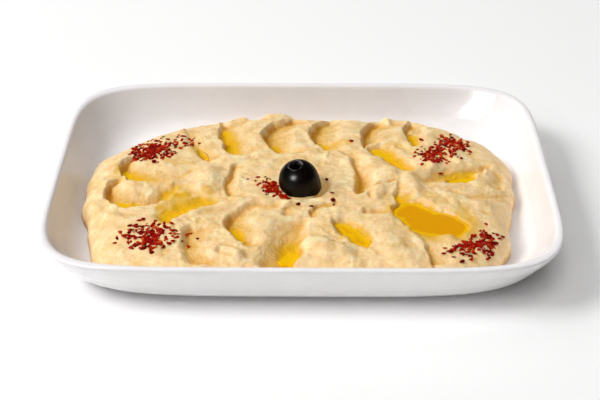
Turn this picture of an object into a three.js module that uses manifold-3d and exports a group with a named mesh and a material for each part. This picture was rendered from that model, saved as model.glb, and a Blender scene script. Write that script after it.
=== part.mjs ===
// A serving of hummus in a low rectangular dish, with a pitted black olive,
// chilli flakes and small pools of oil. Millimetres, +Z up, +X along the dish,
// origin on the table under the middle of the dish.
import * as THREE from 'three';
import { mergeVertices } from 'three/addons/utils/BufferGeometryUtils.js';
import Module from 'manifold-3d';

const wasm = await Module();
wasm.setup();

// ---------------------------------------------------------------- dimensions

const GAP = 0.3;

const DISH = {
  length: 240,
  width: 170,
  height: 25,
  floor: 5,
  segments: 60,
  cornerCrowding: 0.6,
};

// The dish in section, from the foot ring over the lip to the floor inside:
// distance in from the widest outline, height, and squareness of the corners.
const DISH_RECESS = { inset: 24, z: 1.2, square: 4.2 };
const DISH_FOOT = [
  { inset: 22.5, z: 0, square: 4.2 },
  { inset: 18, z: 0, square: 4.3 },
];
// The round edge under the wall, in radians of sweep from the foot.
const DISH_BASE_EDGE = {
  radius: 12, inset: 18, sweep: 1.2, square: [4.3, 5.1], steps: [0.25, 0.5, 0.75, 1],
};
const DISH_WALL = [
  { inset: 3.6, z: 14, square: 5.4 },
  { inset: 1.2, z: 20, square: 6.0 },
  { inset: 0, z: 24, square: 6.3 },
  { inset: 0.4, z: 24.8, square: 6.3 },
  { inset: 1.6, z: 25, square: 6.3 },
  { inset: 2.9, z: 24.7, square: 6.2 },
  { inset: 3.8, z: 23.4, square: 6.1 },
];
const DISH_INSIDE = [
  { inset: 5.2, z: 19.5, square: 5.8 },
  { inset: 7.4, z: 14.4, square: 5.4 },
  { inset: 9.4, z: 10.3, square: 5.0 },
  { inset: 11.6, z: 7.4, square: 4.7 },
  { inset: 14, z: 5.7, square: 4.4 },
  { inset: 17, z: 5, square: 4.2 },
];

const HUMMUS = {
  centre: [-0.5, -5.5],
  halfLength: 104,
  halfWidth: 73.5,
  underside: DISH.floor + GAP,
  undercut: 0.975,
  edgeHeight: 1.5,
  fill: 12.4,
  crown: 1,
  edgeSharpness: 12,
  edgeFade: 0.05,
  cellsAlong: 31,
  cellsAcross: 22,
  edgeCrowding: 0.3,
};

// The heap is squarer in front than behind, and fuller at the back right
// than at the back left.
const SQUARENESS = { middle: 3.28, frontMore: 1.32, diagonal: 0.25 };

// Its edge bulges and dips a little, in waves round the outline.
const LOBES = [
  { waves: 2, height: 0.005, turn: 1.2 },
  { waves: 3, height: 0.024, turn: 1.8 },
  { waves: 4, height: 0.005, turn: 1.5 },
  { waves: 5, height: 0.007, turn: 2.3 },
  { waves: 6, height: 0.014, turn: -0.3 },
  { waves: 8, height: 0.006, turn: 2 },
  { waves: 13, height: 0.005, turn: -1 },
  { waves: 23, height: 0.005, turn: 0.6 },
];

const OLIVE = {
  at: [-0.8, -9.5, 20.7],
  radius: 10,
  halfLength: 12.5,
  fullness: 0.84,
  leanForward: 8,
  leanLeft: 10,
  lipRadius: 3.8,
  lipBead: 0.35,
  pitRadius: 2.5,
  pitDepth: 9,
  segments: 26,
  steps: 11,
  socketSteps: 14,
  clearOfFlakes: 3,
};

// Swellings of the surface, each a soft ridge between two points.
const MOUNDS = [
  { from: [-46, 4], to: [-47, -12], half: 9, lift: 2 },
  { from: [27, 16], to: [41, 3], half: 11, lift: 1.8 },
  { from: [52, -12], to: [60, 8], half: 9, lift: 2.2, bend: 2 },
  { from: [38, -14], to: [35, -22], half: 4.5, lift: 1.6 },
  { from: [6, -57], to: [18, -63], half: 8, lift: 2.8 },
  { from: [-38, -63], to: [-28, -65], half: 6, lift: 2.6 },
  { from: [9.5, -15.5], to: [11.5, -8], half: 5.5, lift: -2.3 },
  { from: [-7, -20], to: [4, -20.5], half: 6, lift: -0.9 },
  { from: [42, -56], to: [47, -65], half: 10, lift: 2 },
  { from: [72, 24], to: [80, 14], half: 9, lift: 0.8 },
  { from: [-76, 28], to: [-66, 22], half: 9, lift: 0.6 },
  { from: [70, -17], to: [90, -24], half: 6, lift: 1 },
  { from: [-74, 44], to: [-56, 52], half: 6, lift: 1.2 },
  { from: [-50, 55], to: [-32, 61], half: 6, lift: 2.2 },
  { from: [-17, 63], to: [-9, 65], half: 6, lift: 3.8 },
  { from: [12, 62], to: [24, 61], half: 5, lift: -0.8 },
  { from: [44, 60], to: [62, 57], half: 6, lift: 2.2 },
  { from: [-20, -34], to: [-14, -40], half: 9, lift: 1.2 },
];

// Thin crests that the spoon left standing.
const RIDGES = [
  { from: [-64, -46.5], to: [-30, -23], half: 1.9, lift: 0.9, bend: 2.2 },
  { from: [-30, -23], to: [-4, -24], half: 1.9, lift: 1.1 },
  { from: [-4, -24], to: [13, -18.5], half: 1.8, lift: 0.7 },
  { from: [-97, -2], to: [-64, -8], half: 2.6, lift: 1.2, bend: -4 },
  { from: [-99, -24], to: [-72, -38], half: 2.6, lift: 0.9, bend: -5 },
  { from: [33, -14.5], to: [47, -6], half: 1.6, lift: 1.3, bend: 1 },
  { from: [-32, 19.5], to: [18, 19], half: 2.2, lift: 0.6 },
];

// Spoon strokes, in the order they were pressed. The spoon goes from one point
// to the other, bending to its left. One wall is steep and the other gentle;
// steepSide is 1 where the steep wall is on the spoon's left. A stroke starts
// at startDepth times its depth. swell rounds the gentle wall like a pillow.
// A flat stroke only presses down: it has an even floor and raises no lip.
const STROKES = [
  { from: [-44, -24], to: [-60, -38.5], bend: -1.5, steep: 3, gentle: 17, steepSide: 1,
    depth: 2.6, lip: 0.3, startRound: 7, endRound: 7, swell: 0.2 },
  { from: [-60, 46], to: [-48, 16], bend: -1.5, steep: 3, gentle: 13, steepSide: -1,
    depth: 3, lip: 0.3, startDepth: 0.5 },
  { from: [-41, 55], to: [-34.5, 21], bend: -2, steep: 3.4, gentle: 15, steepSide: -1,
    depth: 5.2, startDepth: 0.7 },
  { from: [-7, 57], to: [-13.5, 25], bend: -7, steep: 3.6, gentle: 16, steepSide: -1,
    depth: 6, startDepth: 0.6 },
  { from: [14, 56], to: [10.5, 26], bend: -5.2, steep: 3.6, gentle: 16, steepSide: -1,
    depth: 5.8, startDepth: 0.6 },
  { from: [39, 55], to: [33.5, 28], bend: -3, steep: 3.4, gentle: 15, steepSide: -1,
    depth: 5.2, startDepth: 0.7 },
  { from: [56.5, 54], to: [55.5, 32], bend: -1.5, steep: 3, gentle: 11, steepSide: -1,
    depth: 4.6, startDepth: 0.7 },
  { from: [37, 26], to: [56, 4], bend: -1, steep: 5, gentle: 9, steepSide: -1,
    depth: 3.6, lip: 0.3, startRound: 6, swell: 0 },
  { from: [-89, 13], to: [-67, -5], bend: -7, steep: 3.6, gentle: 15, steepSide: -1,
    depth: 5.6, startRound: 3.4, endRound: 9 },
  { from: [-94, -9], to: [-72, -22], bend: -8, steep: 3.6, gentle: 15, steepSide: -1,
    depth: 5.6, startRound: 3.4, endRound: 9, swell: 0.1 },
  { from: [-33.5, 8], to: [-34.5, -17], bend: -2, steep: 1.8, gentle: 7, steepSide: -1,
    depth: 2.6, startRound: 4, endRound: 4, swell: 0.2 },
  { from: [23, 18], to: [28, -13], bend: 3, steep: 3, gentle: 9, steepSide: -1,
    depth: 6, startRound: 6, endRound: 3, startDepth: 0.4 },
  { from: [31, -13.5], to: [48, -3.5], bend: 1, steep: 1.4, gentle: 3.5, steepSide: 1,
    depth: 1.8, lip: 0.3, startRound: 3, endRound: 4 },
  { from: [48, -5], to: [47, -19], steep: 2.4, gentle: 9, steepSide: -1,
    depth: 3, startRound: 4, endRound: 6, startDepth: 0.5 },
  { from: [33, -16], to: [33.5, -21], steep: 1.4, gentle: 4, steepSide: -1,
    depth: 1.6, lip: 0.2, startRound: 3, endRound: 3 },
  { from: [42, -31], to: [31, -30.5], steep: 2.6, gentle: 3.4, steepSide: 1,
    depth: 3, lip: 0.3, startRound: 3, endRound: 4 },
  { from: [60, -1], to: [90, 10], bend: -1, steep: 6.5, gentle: 8, steepSide: 1,
    depth: 2.6, lip: 0.2, startRound: 8, endRound: 8 },
  { from: [74, -1.5], to: [82, 1.5], steep: 4.6, gentle: 4.6, steepSide: 1,
    depth: 4.2, flat: true },
  { from: [96, 7], to: [95, -5], bend: 1, steep: 4.5, gentle: 6, steepSide: 1,
    depth: 1.7, lip: 0.2, swell: 0.1 },
  { from: [74, -15], to: [97, -11], bend: -1, steep: 2.6, gentle: 7, steepSide: 1,
    depth: 1.4, lip: 0.2, startRound: 6 },
  { from: [-50, -45], to: [-47, -68], bend: -2, steep: 5, gentle: 13, steepSide: -1,
    depth: 3, lip: 0.3, startRound: 4, endRound: 6, swell: 0.1 },
  { from: [-20, -25], to: [-28.5, -51], bend: -8, steep: 3, gentle: 14, steepSide: -1,
    depth: 5.8, lip: 0.4, startRound: 4, endRound: 6, swell: 0.15, startDepth: 0.25 },
  { from: [-3, -25], to: [-10, -38], bend: -1.5, steep: 1.6, gentle: 8, steepSide: -1,
    depth: 1.7, lip: 0.4, startRound: 3, endRound: 4 },
  { from: [-1.5, -45], to: [-6.5, -69], bend: 1, steep: 6, gentle: 17, steepSide: 1,
    depth: 7, lip: 0.2, startRound: 10, endRound: 7, swell: 0, startDepth: 0.45 },
  { from: [19, -40], to: [29, -55], bend: -1, steep: 6, gentle: 8, steepSide: -1,
    depth: 4.8, startRound: 7, endRound: 7, swell: 0.1 },
  { from: [5, -33], to: [15, -24], bend: 2, steep: 1.6, gentle: 5, steepSide: 1,
    depth: 2, startRound: 3, endRound: 3 },
  { from: [54, -47], to: [60, -68], bend: 1.5, steep: 3, gentle: 12, steepSide: -1,
    depth: 2.8, startDepth: 0.5 },
  { from: [-36.5, -65], to: [-30.5, -66], steep: 1.3, gentle: 3.5, steepSide: -1,
    depth: 1.3, lip: 0.3, startRound: 2, endRound: 2 },
  { from: [52, -29.5], to: [62, -36], steep: 9.8, gentle: 9.8, steepSide: 1,
    depth: 4.4, startRound: 9.5, endRound: 9, flat: true },
  { from: [65, -35], to: [70.5, -42], steep: 6.8, gentle: 6.8, steepSide: 1,
    depth: 4.4, startRound: 7, endRound: 7, flat: true },
  { from: [49, -32], to: [59, -43], steep: 7.2, gentle: 7.2, steepSide: 1,
    depth: 4.4, startRound: 7.2, endRound: 7, flat: true },
  { from: [60, -43], to: [70, -42], steep: 6.6, gentle: 6.6, steepSide: 1,
    depth: 4.4, startRound: 6.6, endRound: 6.6, flat: true },
];
const STROKE_DEFAULTS = {
  lip: 0.5, startRound: 5, endRound: 5, swell: 0.5, startDepth: 1, flat: false,
};

// The section of a stroke, measured in widths from its line: how round its
// steep wall is, how its gentle wall and its floor fall off, where it runs out
// into the surface, and where and how wide the lip stands beside it.
const SECTION = {
  steepRound: 0.25, gentlePower: 1.7, floorPower: 3, edge: 0.8, edgeWidth: 0.28,
  lipAt: 1.15, lipWidth: 0.22, lipOnGentle: 0.4, lipAtEnds: 0.5,
};
const BEND_BEYOND_ENDS = 0.15;

// Slow unevenness of the surface, and how far the strokes wander.
const UNEVEN = [
  { cell: 12, height: 0.55, seed: 3 },
  { cell: 5.5, height: 0.42, seed: 4 },
];
const WANDER = [
  { cell: 9, shift: 1.3, seed: 8 },
  { cell: 4, shift: 0.75, seed: 18 },
  { cell: 1.9, shift: 0.3, seed: 28 },
];

// Oil stands in the strokes: where to look for the hollow, and how deep it is.
// Each pool is cut from a block that starts one root below the hollow's floor.
const POOL_SEARCH_STEP = 0.5;
const POOL_ROOT = 1;
const POOL_SEGMENTS = 16;
const POOLS = [
  { name: 'oil_left_film', at: [-54, -30], half: [16, 9], turn: 41, fill: 1.1 },
  { name: 'oil_back_1', at: [-52, 22], half: [7, 3.5], turn: -55, fill: 1.2 },
  { name: 'oil_back_2', at: [-37, 34], half: [14, 5], turn: -80, fill: 1.9 },
  { name: 'oil_back_3', at: [-15, 28], half: [6, 5], turn: -80, fill: 1.8 },
  { name: 'oil_back_4', at: [9.5, 29], half: [5.5, 5], turn: -80, fill: 1.7 },
  { name: 'oil_back_5', at: [56, 37], half: [6.5, 4.5], turn: -85, fill: 1.7 },
  { name: 'oil_right_tongue', at: [47, 15], half: [16, 6.5], turn: -48, fill: 1.6 },
  { name: 'oil_left_1', at: [-78, -1], half: [14, 6], turn: -32, fill: 1.8 },
  { name: 'oil_left_2', at: [-83, -23], half: [9, 5], turn: 0, fill: 1.7 },
  { name: 'oil_pool', at: [61, -34], half: [23, 17], turn: -38, fill: 2.9 },
  { name: 'oil_right', at: [78, 1], half: [11, 6], turn: 25, fill: 1.6 },
  { name: 'oil_front_1', at: [-30.5, -47], half: [7, 4.5], turn: -75, fill: 2.3 },
  { name: 'oil_front_2', at: [-3, -61], half: [10, 7.5], turn: -75, fill: 2.2 },
  { name: 'oil_front_3', at: [24.5, -48.5], half: [12, 7], turn: -57, fill: 2.3 },
];

// Chilli flakes: scattered clusters, then the few that fell alone.
const FLAKE_CLUSTERS = [
  { at: [-74, 23.5], spread: [9, 7.5], turn: 5, count: 18 },
  { at: [-66, 30], spread: [12, 9], turn: 10, count: 8 },
  { at: [78, 33], spread: [7, 5], turn: -30, count: 8 },
  { at: [67, 20], spread: [11, 6.5], turn: 40, count: 12 },
  { at: [-68, -52], spread: [7, 6.5], turn: 60, count: 12 },
  { at: [-77, -50], spread: [6, 5], turn: 0, count: 5 },
  { at: [80, -55], spread: [12, 4.5], turn: 35, count: 12 },
  { at: [87, -62], spread: [4, 7], turn: 0, count: 4 },
  { at: [-11.5, -14], spread: [6, 3.4], turn: -50, count: 10 },
];
const LONE_FLAKES = [
  [25, 32.5], [14.5, -17.5], [15, -23.5], [5, -27], [12, -4.5], [68, 4], [86, -39],
  [65, -49.5], [-57, 31],
];
const FLAKE = {
  length: [2, 3.4], width: [1.3, 2], thickness: [1, 1.5], tilt: 0.25, above: 0.1,
};
const FLAKE_SEED = 11;
const FLAKES_WITHIN = 0.94;

// How fast a cluster thins out from its middle, and where it stops.
const CLUSTER = { spread: 1.2, share: 0.9 };

const COLOURS = {
  porcelain: 0xeceae8,
  hummus: 0xf4d49c,
  oil: 0xdd9a02,
  olive: 0x0f0a08,
};

// ------------------------------------------------------------- small helpers

const rad = THREE.MathUtils.degToRad;
const clamp01 = (t) => THREE.MathUtils.clamp(t, 0, 1);
const bell = (d) => 0.5 * (1 + Math.cos(Math.PI * clamp01(d)));

function between([low, high], t) {
  return low + (high - low) * t;
}

function smoothStep(t) {
  const c = clamp01(t);
  return c * c * (3 - 2 * c);
}

// A repeatable random sequence from 0 to 1.
function randomFrom(seed) {
  let state = seed;
  return () => {
    state = (state + 0x6d2b79f5) | 0;
    let t = Math.imul(state ^ (state >>> 15), 1 | state);
    t = (t + Math.imul(t ^ (t >>> 7), 61 | t)) ^ t;
    return ((t ^ (t >>> 14)) >>> 0) / 4294967296;
  };
}

// A fixed random value from -1 to 1 at each corner of a square lattice.
function cornerValue(i, j, seed) {
  let h = Math.imul(i, 374761393) + Math.imul(j, 668265263) + Math.imul(seed, 974634777);
  h = Math.imul(h ^ (h >>> 13), 1274126177);
  return (((h ^ (h >>> 16)) & 0xffff) / 65535) * 2 - 1;
}

function noise(x, y, cell, seed) {
  const i = Math.floor(x / cell);
  const j = Math.floor(y / cell);
  const u = THREE.MathUtils.smootherstep(x / cell - i, 0, 1);
  const v = THREE.MathUtils.smootherstep(y / cell - j, 0, 1);
  const front = THREE.MathUtils.lerp(cornerValue(i, j, seed), cornerValue(i + 1, j, seed), u);
  const back = THREE.MathUtils.lerp(
    cornerValue(i, j + 1, seed), cornerValue(i + 1, j + 1, seed), u);
  return THREE.MathUtils.lerp(front, back, v);
}

// Distance from the centre to a rounded rectangle of unit half sizes.
function squareReach(angle, squareness) {
  const c = Math.abs(Math.cos(angle)) ** squareness;
  const s = Math.abs(Math.sin(angle)) ** squareness;
  return (c + s) ** (-1 / squareness);
}

function toSolid(geometry) {
  const bare = geometry.clone();
  bare.deleteAttribute('normal');
  bare.deleteAttribute('uv');
  const merged = mergeVertices(bare, 1e-5);
  return new wasm.Manifold(new wasm.Mesh({
    numProp: 3,
    vertProperties: new Float32Array(merged.attributes.position.array),
    triVerts: new Uint32Array(merged.index.array),
  }));
}

function toGeometry(solid) {
  const mesh = solid.getMesh();
  const geometry = new THREE.BufferGeometry();
  geometry.setAttribute('position', new THREE.BufferAttribute(mesh.vertProperties, 3));
  geometry.setIndex(new THREE.BufferAttribute(mesh.triVerts, 1));
  return geometry;
}

function largestPiece(solid) {
  const pieces = solid.decompose();
  return pieces.reduce((a, b) => (a.volume() > b.volume() ? a : b));
}

function meshOf(name, geometry, colour, roughness) {
  geometry.computeVertexNormals();
  const material = new THREE.MeshStandardMaterial({ color: colour, roughness, metalness: 0 });
  const mesh = new THREE.Mesh(geometry, material);
  mesh.name = name;
  return mesh;
}

// A closed solid through stacked rings of equal point counts, the first and
// last ring closed by a fan. Rings run anticlockwise seen from above.
function ringSolid(rings) {
  const count = rings[0].length;
  const points = rings.flat();
  const faces = [];
  for (let k = 0; k < rings.length - 1; k += 1) {
    for (let i = 0; i < count; i += 1) {
      const a = k * count + i;
      const b = k * count + ((i + 1) % count);
      faces.push(a, b, b + count, a, b + count, a + count);
    }
  }
  const last = (rings.length - 1) * count;
  points.push(middleOf(rings[0]), middleOf(rings[rings.length - 1]));
  for (let i = 0; i < count; i += 1) {
    const next = (i + 1) % count;
    faces.push(points.length - 2, next, i);
    faces.push(points.length - 1, last + i, last + next);
  }
  const geometry = new THREE.BufferGeometry();
  geometry.setAttribute('position', new THREE.Float32BufferAttribute(points.flat(), 3));
  geometry.setIndex(faces);
  return geometry;
}

function middleOf(ring) {
  const sum = ring.reduce((s, p) => [s[0] + p[0], s[1] + p[1], s[2] + p[2]], [0, 0, 0]);
  return sum.map((v) => v / ring.length);
}

// ---------------------------------------------------------------------- dish

function dishRing({ inset, z, square }) {
  const ring = [];
  for (let i = 0; i < DISH.segments; i += 1) {
    const even = (2 * Math.PI * i) / DISH.segments;
    const angle = even + (DISH.cornerCrowding * Math.sin(4 * even)) / 4;
    const reach = squareReach(angle, square);
    const x = (DISH.length / 2 - inset) * Math.cos(angle) * reach;
    const y = (DISH.width / 2 - inset) * Math.sin(angle) * reach;
    ring.push([x, y, z]);
  }
  return ring;
}

function dishBaseEdge() {
  return DISH_BASE_EDGE.steps.map((step) => {
    const angle = step * DISH_BASE_EDGE.sweep;
    return {
      inset: DISH_BASE_EDGE.inset - DISH_BASE_EDGE.radius * Math.sin(angle),
      z: DISH_BASE_EDGE.radius * (1 - Math.cos(angle)),
      square: between(DISH_BASE_EDGE.square, step),
    };
  });
}

function dishGeometry() {
  const sections = [
    DISH_RECESS, ...DISH_FOOT, ...dishBaseEdge(), ...DISH_WALL, ...DISH_INSIDE,
  ];
  return ringSolid(sections.map(dishRing));
}

// The room inside the dish, kept one gap clear of its wall.
function dishRoom() {
  const inside = DISH_INSIDE.map((s) => ({ ...s, inset: s.inset + GAP, z: s.z + GAP }));
  const mouth = { ...inside[0], z: 2 * DISH.height };
  return toSolid(ringSolid([mouth, ...inside].reverse().map(dishRing)));
}

// -------------------------------------------------------------------- hummus

function heapReach(angle) {
  const { middle, frontMore, diagonal } = SQUARENESS;
  const squareness = middle - frontMore * Math.sin(angle) + diagonal * Math.sin(2 * angle);
  let reach = squareReach(angle, squareness);
  for (const lobe of LOBES) {
    reach += lobe.height * Math.cos(lobe.waves * angle - lobe.turn);
  }
  return reach;
}

// How far out a point is: 0 at the middle of the heap, 1 at its edge.
function howFarOut(x, y) {
  const u = (x - HUMMUS.centre[0]) / HUMMUS.halfLength;
  const v = (y - HUMMUS.centre[1]) / HUMMUS.halfWidth;
  return Math.hypot(u, v) / heapReach(Math.atan2(v, u));
}

function heapHeight(out) {
  const r = clamp01(out);
  return HUMMUS.underside + HUMMUS.edgeHeight + HUMMUS.crown * (1 - r * r)
    + HUMMUS.fill * Math.sqrt(1 - r ** HUMMUS.edgeSharpness);
}

// Where a point lies beside a path: t along it, side to its left, over past
// its ends.
function besidePath(path, x, y) {
  const [ax, ay] = path.from;
  const [bx, by] = path.to;
  const length = Math.hypot(bx - ax, by - ay);
  const dx = (bx - ax) / length;
  const dy = (by - ay) / length;
  const t = ((x - ax) * dx + (y - ay) * dy) / length;
  const onBend = THREE.MathUtils.clamp(t, -BEND_BEYOND_ENDS, 1 + BEND_BEYOND_ENDS);
  const bulge = (path.bend ?? 0) * 4 * onBend * (1 - onBend);
  const side = (y - ay) * dx - (x - ax) * dy - bulge;
  const over = Math.max(-t, t - 1, 0) * length;
  return { t, side, over };
}

function pressStroke(height, top, stroke, x, y) {
  const s = { ...STROKE_DEFAULTS, ...stroke };
  const { t, side, over } = besidePath(s, x, y);
  const onSteep = side * s.steepSide > 0;
  const across = Math.abs(side) / (onSteep ? s.steep : s.gentle);
  const past = over / (t < 0 ? s.startRound : s.endRound);
  const d = Math.hypot(across, past);
  const inner = clamp01(d);
  const depth = s.depth * THREE.MathUtils.lerp(s.startDepth, 1, clamp01(t));
  if (s.flat) {
    return Math.min(height, top - depth * (1 - inner ** SECTION.floorPower));
  }
  const bowl = onSteep
    ? THREE.MathUtils.lerp(bell(inner), 1 - inner * inner, SECTION.steepRound)
    : THREE.MathUtils.lerp(bell(inner), (1 - inner) ** SECTION.gentlePower, s.swell);
  const inside = 1 - smoothStep((d - SECTION.edge) / SECTION.edgeWidth);
  const lip = s.lip * Math.exp(-(((d - SECTION.lipAt) / SECTION.lipWidth) ** 2))
    * (onSteep ? 1 : SECTION.lipOnGentle)
    * THREE.MathUtils.lerp(1, SECTION.lipAtEnds, clamp01(past));
  return THREE.MathUtils.lerp(height, top - depth * bowl, inside) + lip;
}

// Height of the surface over a point of the dish.
function surfaceHeight(x, y) {
  const out = howFarOut(x, y);
  const bare = heapHeight(out);
  let px = x;
  let py = y;
  for (const w of WANDER) {
    px += w.shift * noise(x, y, w.cell, w.seed);
    py += w.shift * noise(x, y, w.cell, w.seed + 1);
  }
  let top = bare;
  for (const mound of MOUNDS) {
    const { side, over } = besidePath(mound, px, py);
    top += mound.lift * bell(Math.hypot(side, over) / mound.half);
  }
  let height = top;
  for (const stroke of STROKES) {
    height = pressStroke(height, top, stroke, px, py);
  }
  for (const ridge of RIDGES) {
    const { side, over } = besidePath(ridge, px, py);
    height += ridge.lift * Math.exp(-((Math.hypot(side, over / 2) / ridge.half) ** 2));
  }
  for (const u of UNEVEN) {
    height += u.height * noise(x, y, u.cell, u.seed);
  }
  const fade = smoothStep((1 - out) / HUMMUS.edgeFade);
  return THREE.MathUtils.lerp(bare, height, fade);
}

// A square grid of cells pushed out to the heap's round outline, with smaller
// cells near the edge.
function heapPoint(i, j, scale) {
  const u = i / HUMMUS.cellsAlong;
  const v = j / HUMMUS.cellsAcross;
  const ring = Math.max(Math.abs(u), Math.abs(v));
  if (ring === 0) {
    return HUMMUS.centre;
  }
  const sideways = Math.abs(u) >= Math.abs(v);
  const turn = (Math.PI / 4) * (sideways ? v / u : 2 - u / v);
  const sign = sideways ? Math.sign(u) : Math.sign(v);
  const far = scale * ring * (1 + HUMMUS.edgeCrowding * (1 - ring)) * sign;
  const angle = Math.atan2(Math.sin(turn) * sign, Math.cos(turn) * sign);
  const reach = heapReach(angle);
  return [
    HUMMUS.centre[0] + HUMMUS.halfLength * far * Math.cos(turn) * reach,
    HUMMUS.centre[1] + HUMMUS.halfWidth * far * Math.sin(turn) * reach,
  ];
}

// A cell's fold runs along whichever diagonal lies closer to the surface.
function foldsFromAToC(a, b, c, d) {
  const miss = (p, q) => {
    const height = surfaceHeight((p[0] + q[0]) / 2, (p[1] + q[1]) / 2);
    return Math.abs(height - (p[2] + q[2]) / 2);
  };
  return miss(a, c) <= miss(b, d);
}

function heapGeometry() {
  const { cellsAlong: nx, cellsAcross: ny } = HUMMUS;
  const rowLength = 2 * ny + 1;
  const points = [];
  for (let i = -nx; i <= nx; i += 1) {
    for (let j = -ny; j <= ny; j += 1) {
      const [x, y] = heapPoint(i, j, 1);
      points.push([x, y, surfaceHeight(x, y)]);
    }
  }
  const faces = [];
  for (let i = 0; i < 2 * nx; i += 1) {
    for (let j = 0; j < 2 * ny; j += 1) {
      const a = i * rowLength + j;
      const b = a + rowLength;
      if (foldsFromAToC(points[a], points[b], points[b + 1], points[a + 1])) {
        faces.push(a, b, b + 1, a, b + 1, a + 1);
      } else {
        faces.push(a, b, a + 1, b, b + 1, a + 1);
      }
    }
  }
  const rim = [];
  for (let i = -nx; i < nx; i += 1) rim.push([i, -ny]);
  for (let j = -ny; j < ny; j += 1) rim.push([nx, j]);
  for (let i = nx; i > -nx; i -= 1) rim.push([i, ny]);
  for (let j = ny; j > -ny; j -= 1) rim.push([-nx, j]);
  const foot = points.length;
  for (const [i, j] of rim) {
    points.push([...heapPoint(i, j, HUMMUS.undercut), HUMMUS.underside]);
  }
  const middle = points.length;
  points.push([...HUMMUS.centre, HUMMUS.underside]);
  rim.forEach(([i, j], k) => {
    const next = (k + 1) % rim.length;
    const [ni, nj] = rim[next];
    const here = (i + nx) * rowLength + j + ny;
    const there = (ni + nx) * rowLength + nj + ny;
    faces.push(here, foot + k, foot + next, here, foot + next, there);
    faces.push(middle, foot + next, foot + k);
  });
  const geometry = new THREE.BufferGeometry();
  geometry.setAttribute('position', new THREE.Float32BufferAttribute(points.flat(), 3));
  geometry.setIndex(faces);
  return geometry;
}

// --------------------------------------------------------------------- olive

// Radius and height on the olive's side, a little fuller than an ellipse.
function barrelPoint(angle, radius, halfLength) {
  const across = Math.max(Math.cos(angle), 0) ** OLIVE.fullness;
  const along = Math.abs(Math.sin(angle)) ** OLIVE.fullness;
  return new THREE.Vector2(radius * across, halfLength * along * Math.sign(Math.sin(angle)));
}

function oliveProfile() {
  const { radius, halfLength, lipRadius, lipBead, pitRadius, pitDepth } = OLIVE;
  const lipAngle = Math.acos((lipRadius / radius) ** (1 / OLIVE.fullness));
  const profile = [];
  for (let k = 0; k <= OLIVE.steps; k += 1) {
    const angle = -Math.PI / 2 + ((lipAngle + Math.PI / 2) * k) / OLIVE.steps;
    profile.push(barrelPoint(angle, radius, halfLength));
  }
  const lipTop = profile[profile.length - 1].y;
  profile[0].x = 0;
  profile.push(new THREE.Vector2((lipRadius + pitRadius) / 2, lipTop + lipBead));
  profile.push(new THREE.Vector2(pitRadius, lipTop - 1));
  profile.push(new THREE.Vector2(pitRadius, lipTop - pitDepth));
  profile.push(new THREE.Vector2(0, lipTop - pitDepth));
  return profile;
}

function placeOlive(object) {
  object.position.set(...OLIVE.at);
  object.rotation.set(rad(OLIVE.leanForward), rad(-OLIVE.leanLeft), 0);
  object.updateMatrixWorld(true);
  return object;
}

function oliveMesh() {
  const geometry = new THREE.LatheGeometry(oliveProfile(), OLIVE.segments);
  geometry.rotateX(Math.PI / 2);
  return placeOlive(meshOf('olive', geometry, COLOURS.olive, 0.25));
}

// The socket that the olive sits in, one gap larger than the olive.
function oliveSocket() {
  const steps = OLIVE.socketSteps;
  const profile = [];
  for (let k = 0; k <= steps; k += 1) {
    const angle = -Math.PI / 2 + (Math.PI * k) / steps;
    profile.push(barrelPoint(angle, OLIVE.radius + GAP, OLIVE.halfLength + GAP));
  }
  profile[0].x = 0;
  profile[steps].x = 0;
  const geometry = new THREE.LatheGeometry(profile, OLIVE.segments);
  geometry.rotateX(Math.PI / 2);
  geometry.applyMatrix4(placeOlive(new THREE.Object3D()).matrixWorld);
  return toSolid(geometry);
}

function besideOlive(x, y) {
  const clear = OLIVE.radius + OLIVE.clearOfFlakes;
  return Math.hypot(x - OLIVE.at[0], y - OLIVE.at[1]) < clear;
}

// ----------------------------------------------------------------------- oil

function poolShape(pool) {
  const shape = new THREE.Shape();
  shape.absellipse(pool.at[0], pool.at[1], ...pool.half, 0, 2 * Math.PI, false, rad(pool.turn));
  return shape;
}

function isOverPool(pool, x, y) {
  const turn = rad(pool.turn);
  const dx = x - pool.at[0];
  const dy = y - pool.at[1];
  const along = (dx * Math.cos(turn) + dy * Math.sin(turn)) / pool.half[0];
  const across = (dy * Math.cos(turn) - dx * Math.sin(turn)) / pool.half[1];
  return Math.hypot(along, across) < 1;
}

function lowestUnder(pool) {
  const reach = Math.max(...pool.half);
  let lowest = Infinity;
  for (let x = pool.at[0] - reach; x <= pool.at[0] + reach; x += POOL_SEARCH_STEP) {
    for (let y = pool.at[1] - reach; y <= pool.at[1] + reach; y += POOL_SEARCH_STEP) {
      if (isOverPool(pool, x, y)) {
        lowest = Math.min(lowest, surfaceHeight(x, y));
      }
    }
  }
  return lowest;
}

function oilMesh(pool, heap) {
  const lowest = lowestUnder(pool);
  const geometry = new THREE.ExtrudeGeometry(poolShape(pool), {
    depth: pool.fill + POOL_ROOT,
    bevelEnabled: false,
    curveSegments: POOL_SEGMENTS,
  });
  geometry.translate(0, 0, lowest - POOL_ROOT);
  const oil = largestPiece(toSolid(geometry).subtract(heap.translate(0, 0, GAP)));
  return meshOf(pool.name, toGeometry(oil), COLOURS.oil, 0.05);
}

// -------------------------------------------------------------- chilli flakes

// A roughly round random scatter with a denser middle.
function scatter(random) {
  const angle = 2 * Math.PI * random();
  const far = Math.sqrt(-CLUSTER.spread * Math.log(1 - CLUSTER.share * random()));
  return [far * Math.cos(angle), far * Math.sin(angle)];
}

function flakePlaces(random) {
  const places = LONE_FLAKES.map((p) => [...p]);
  for (const cluster of FLAKE_CLUSTERS) {
    const turn = rad(cluster.turn);
    for (let k = 0; k < cluster.count; k += 1) {
      const [u, v] = scatter(random);
      const along = u * cluster.spread[0];
      const across = v * cluster.spread[1];
      places.push([
        cluster.at[0] + along * Math.cos(turn) - across * Math.sin(turn),
        cluster.at[1] + along * Math.sin(turn) + across * Math.cos(turn),
      ]);
    }
  }
  return places;
}

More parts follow.
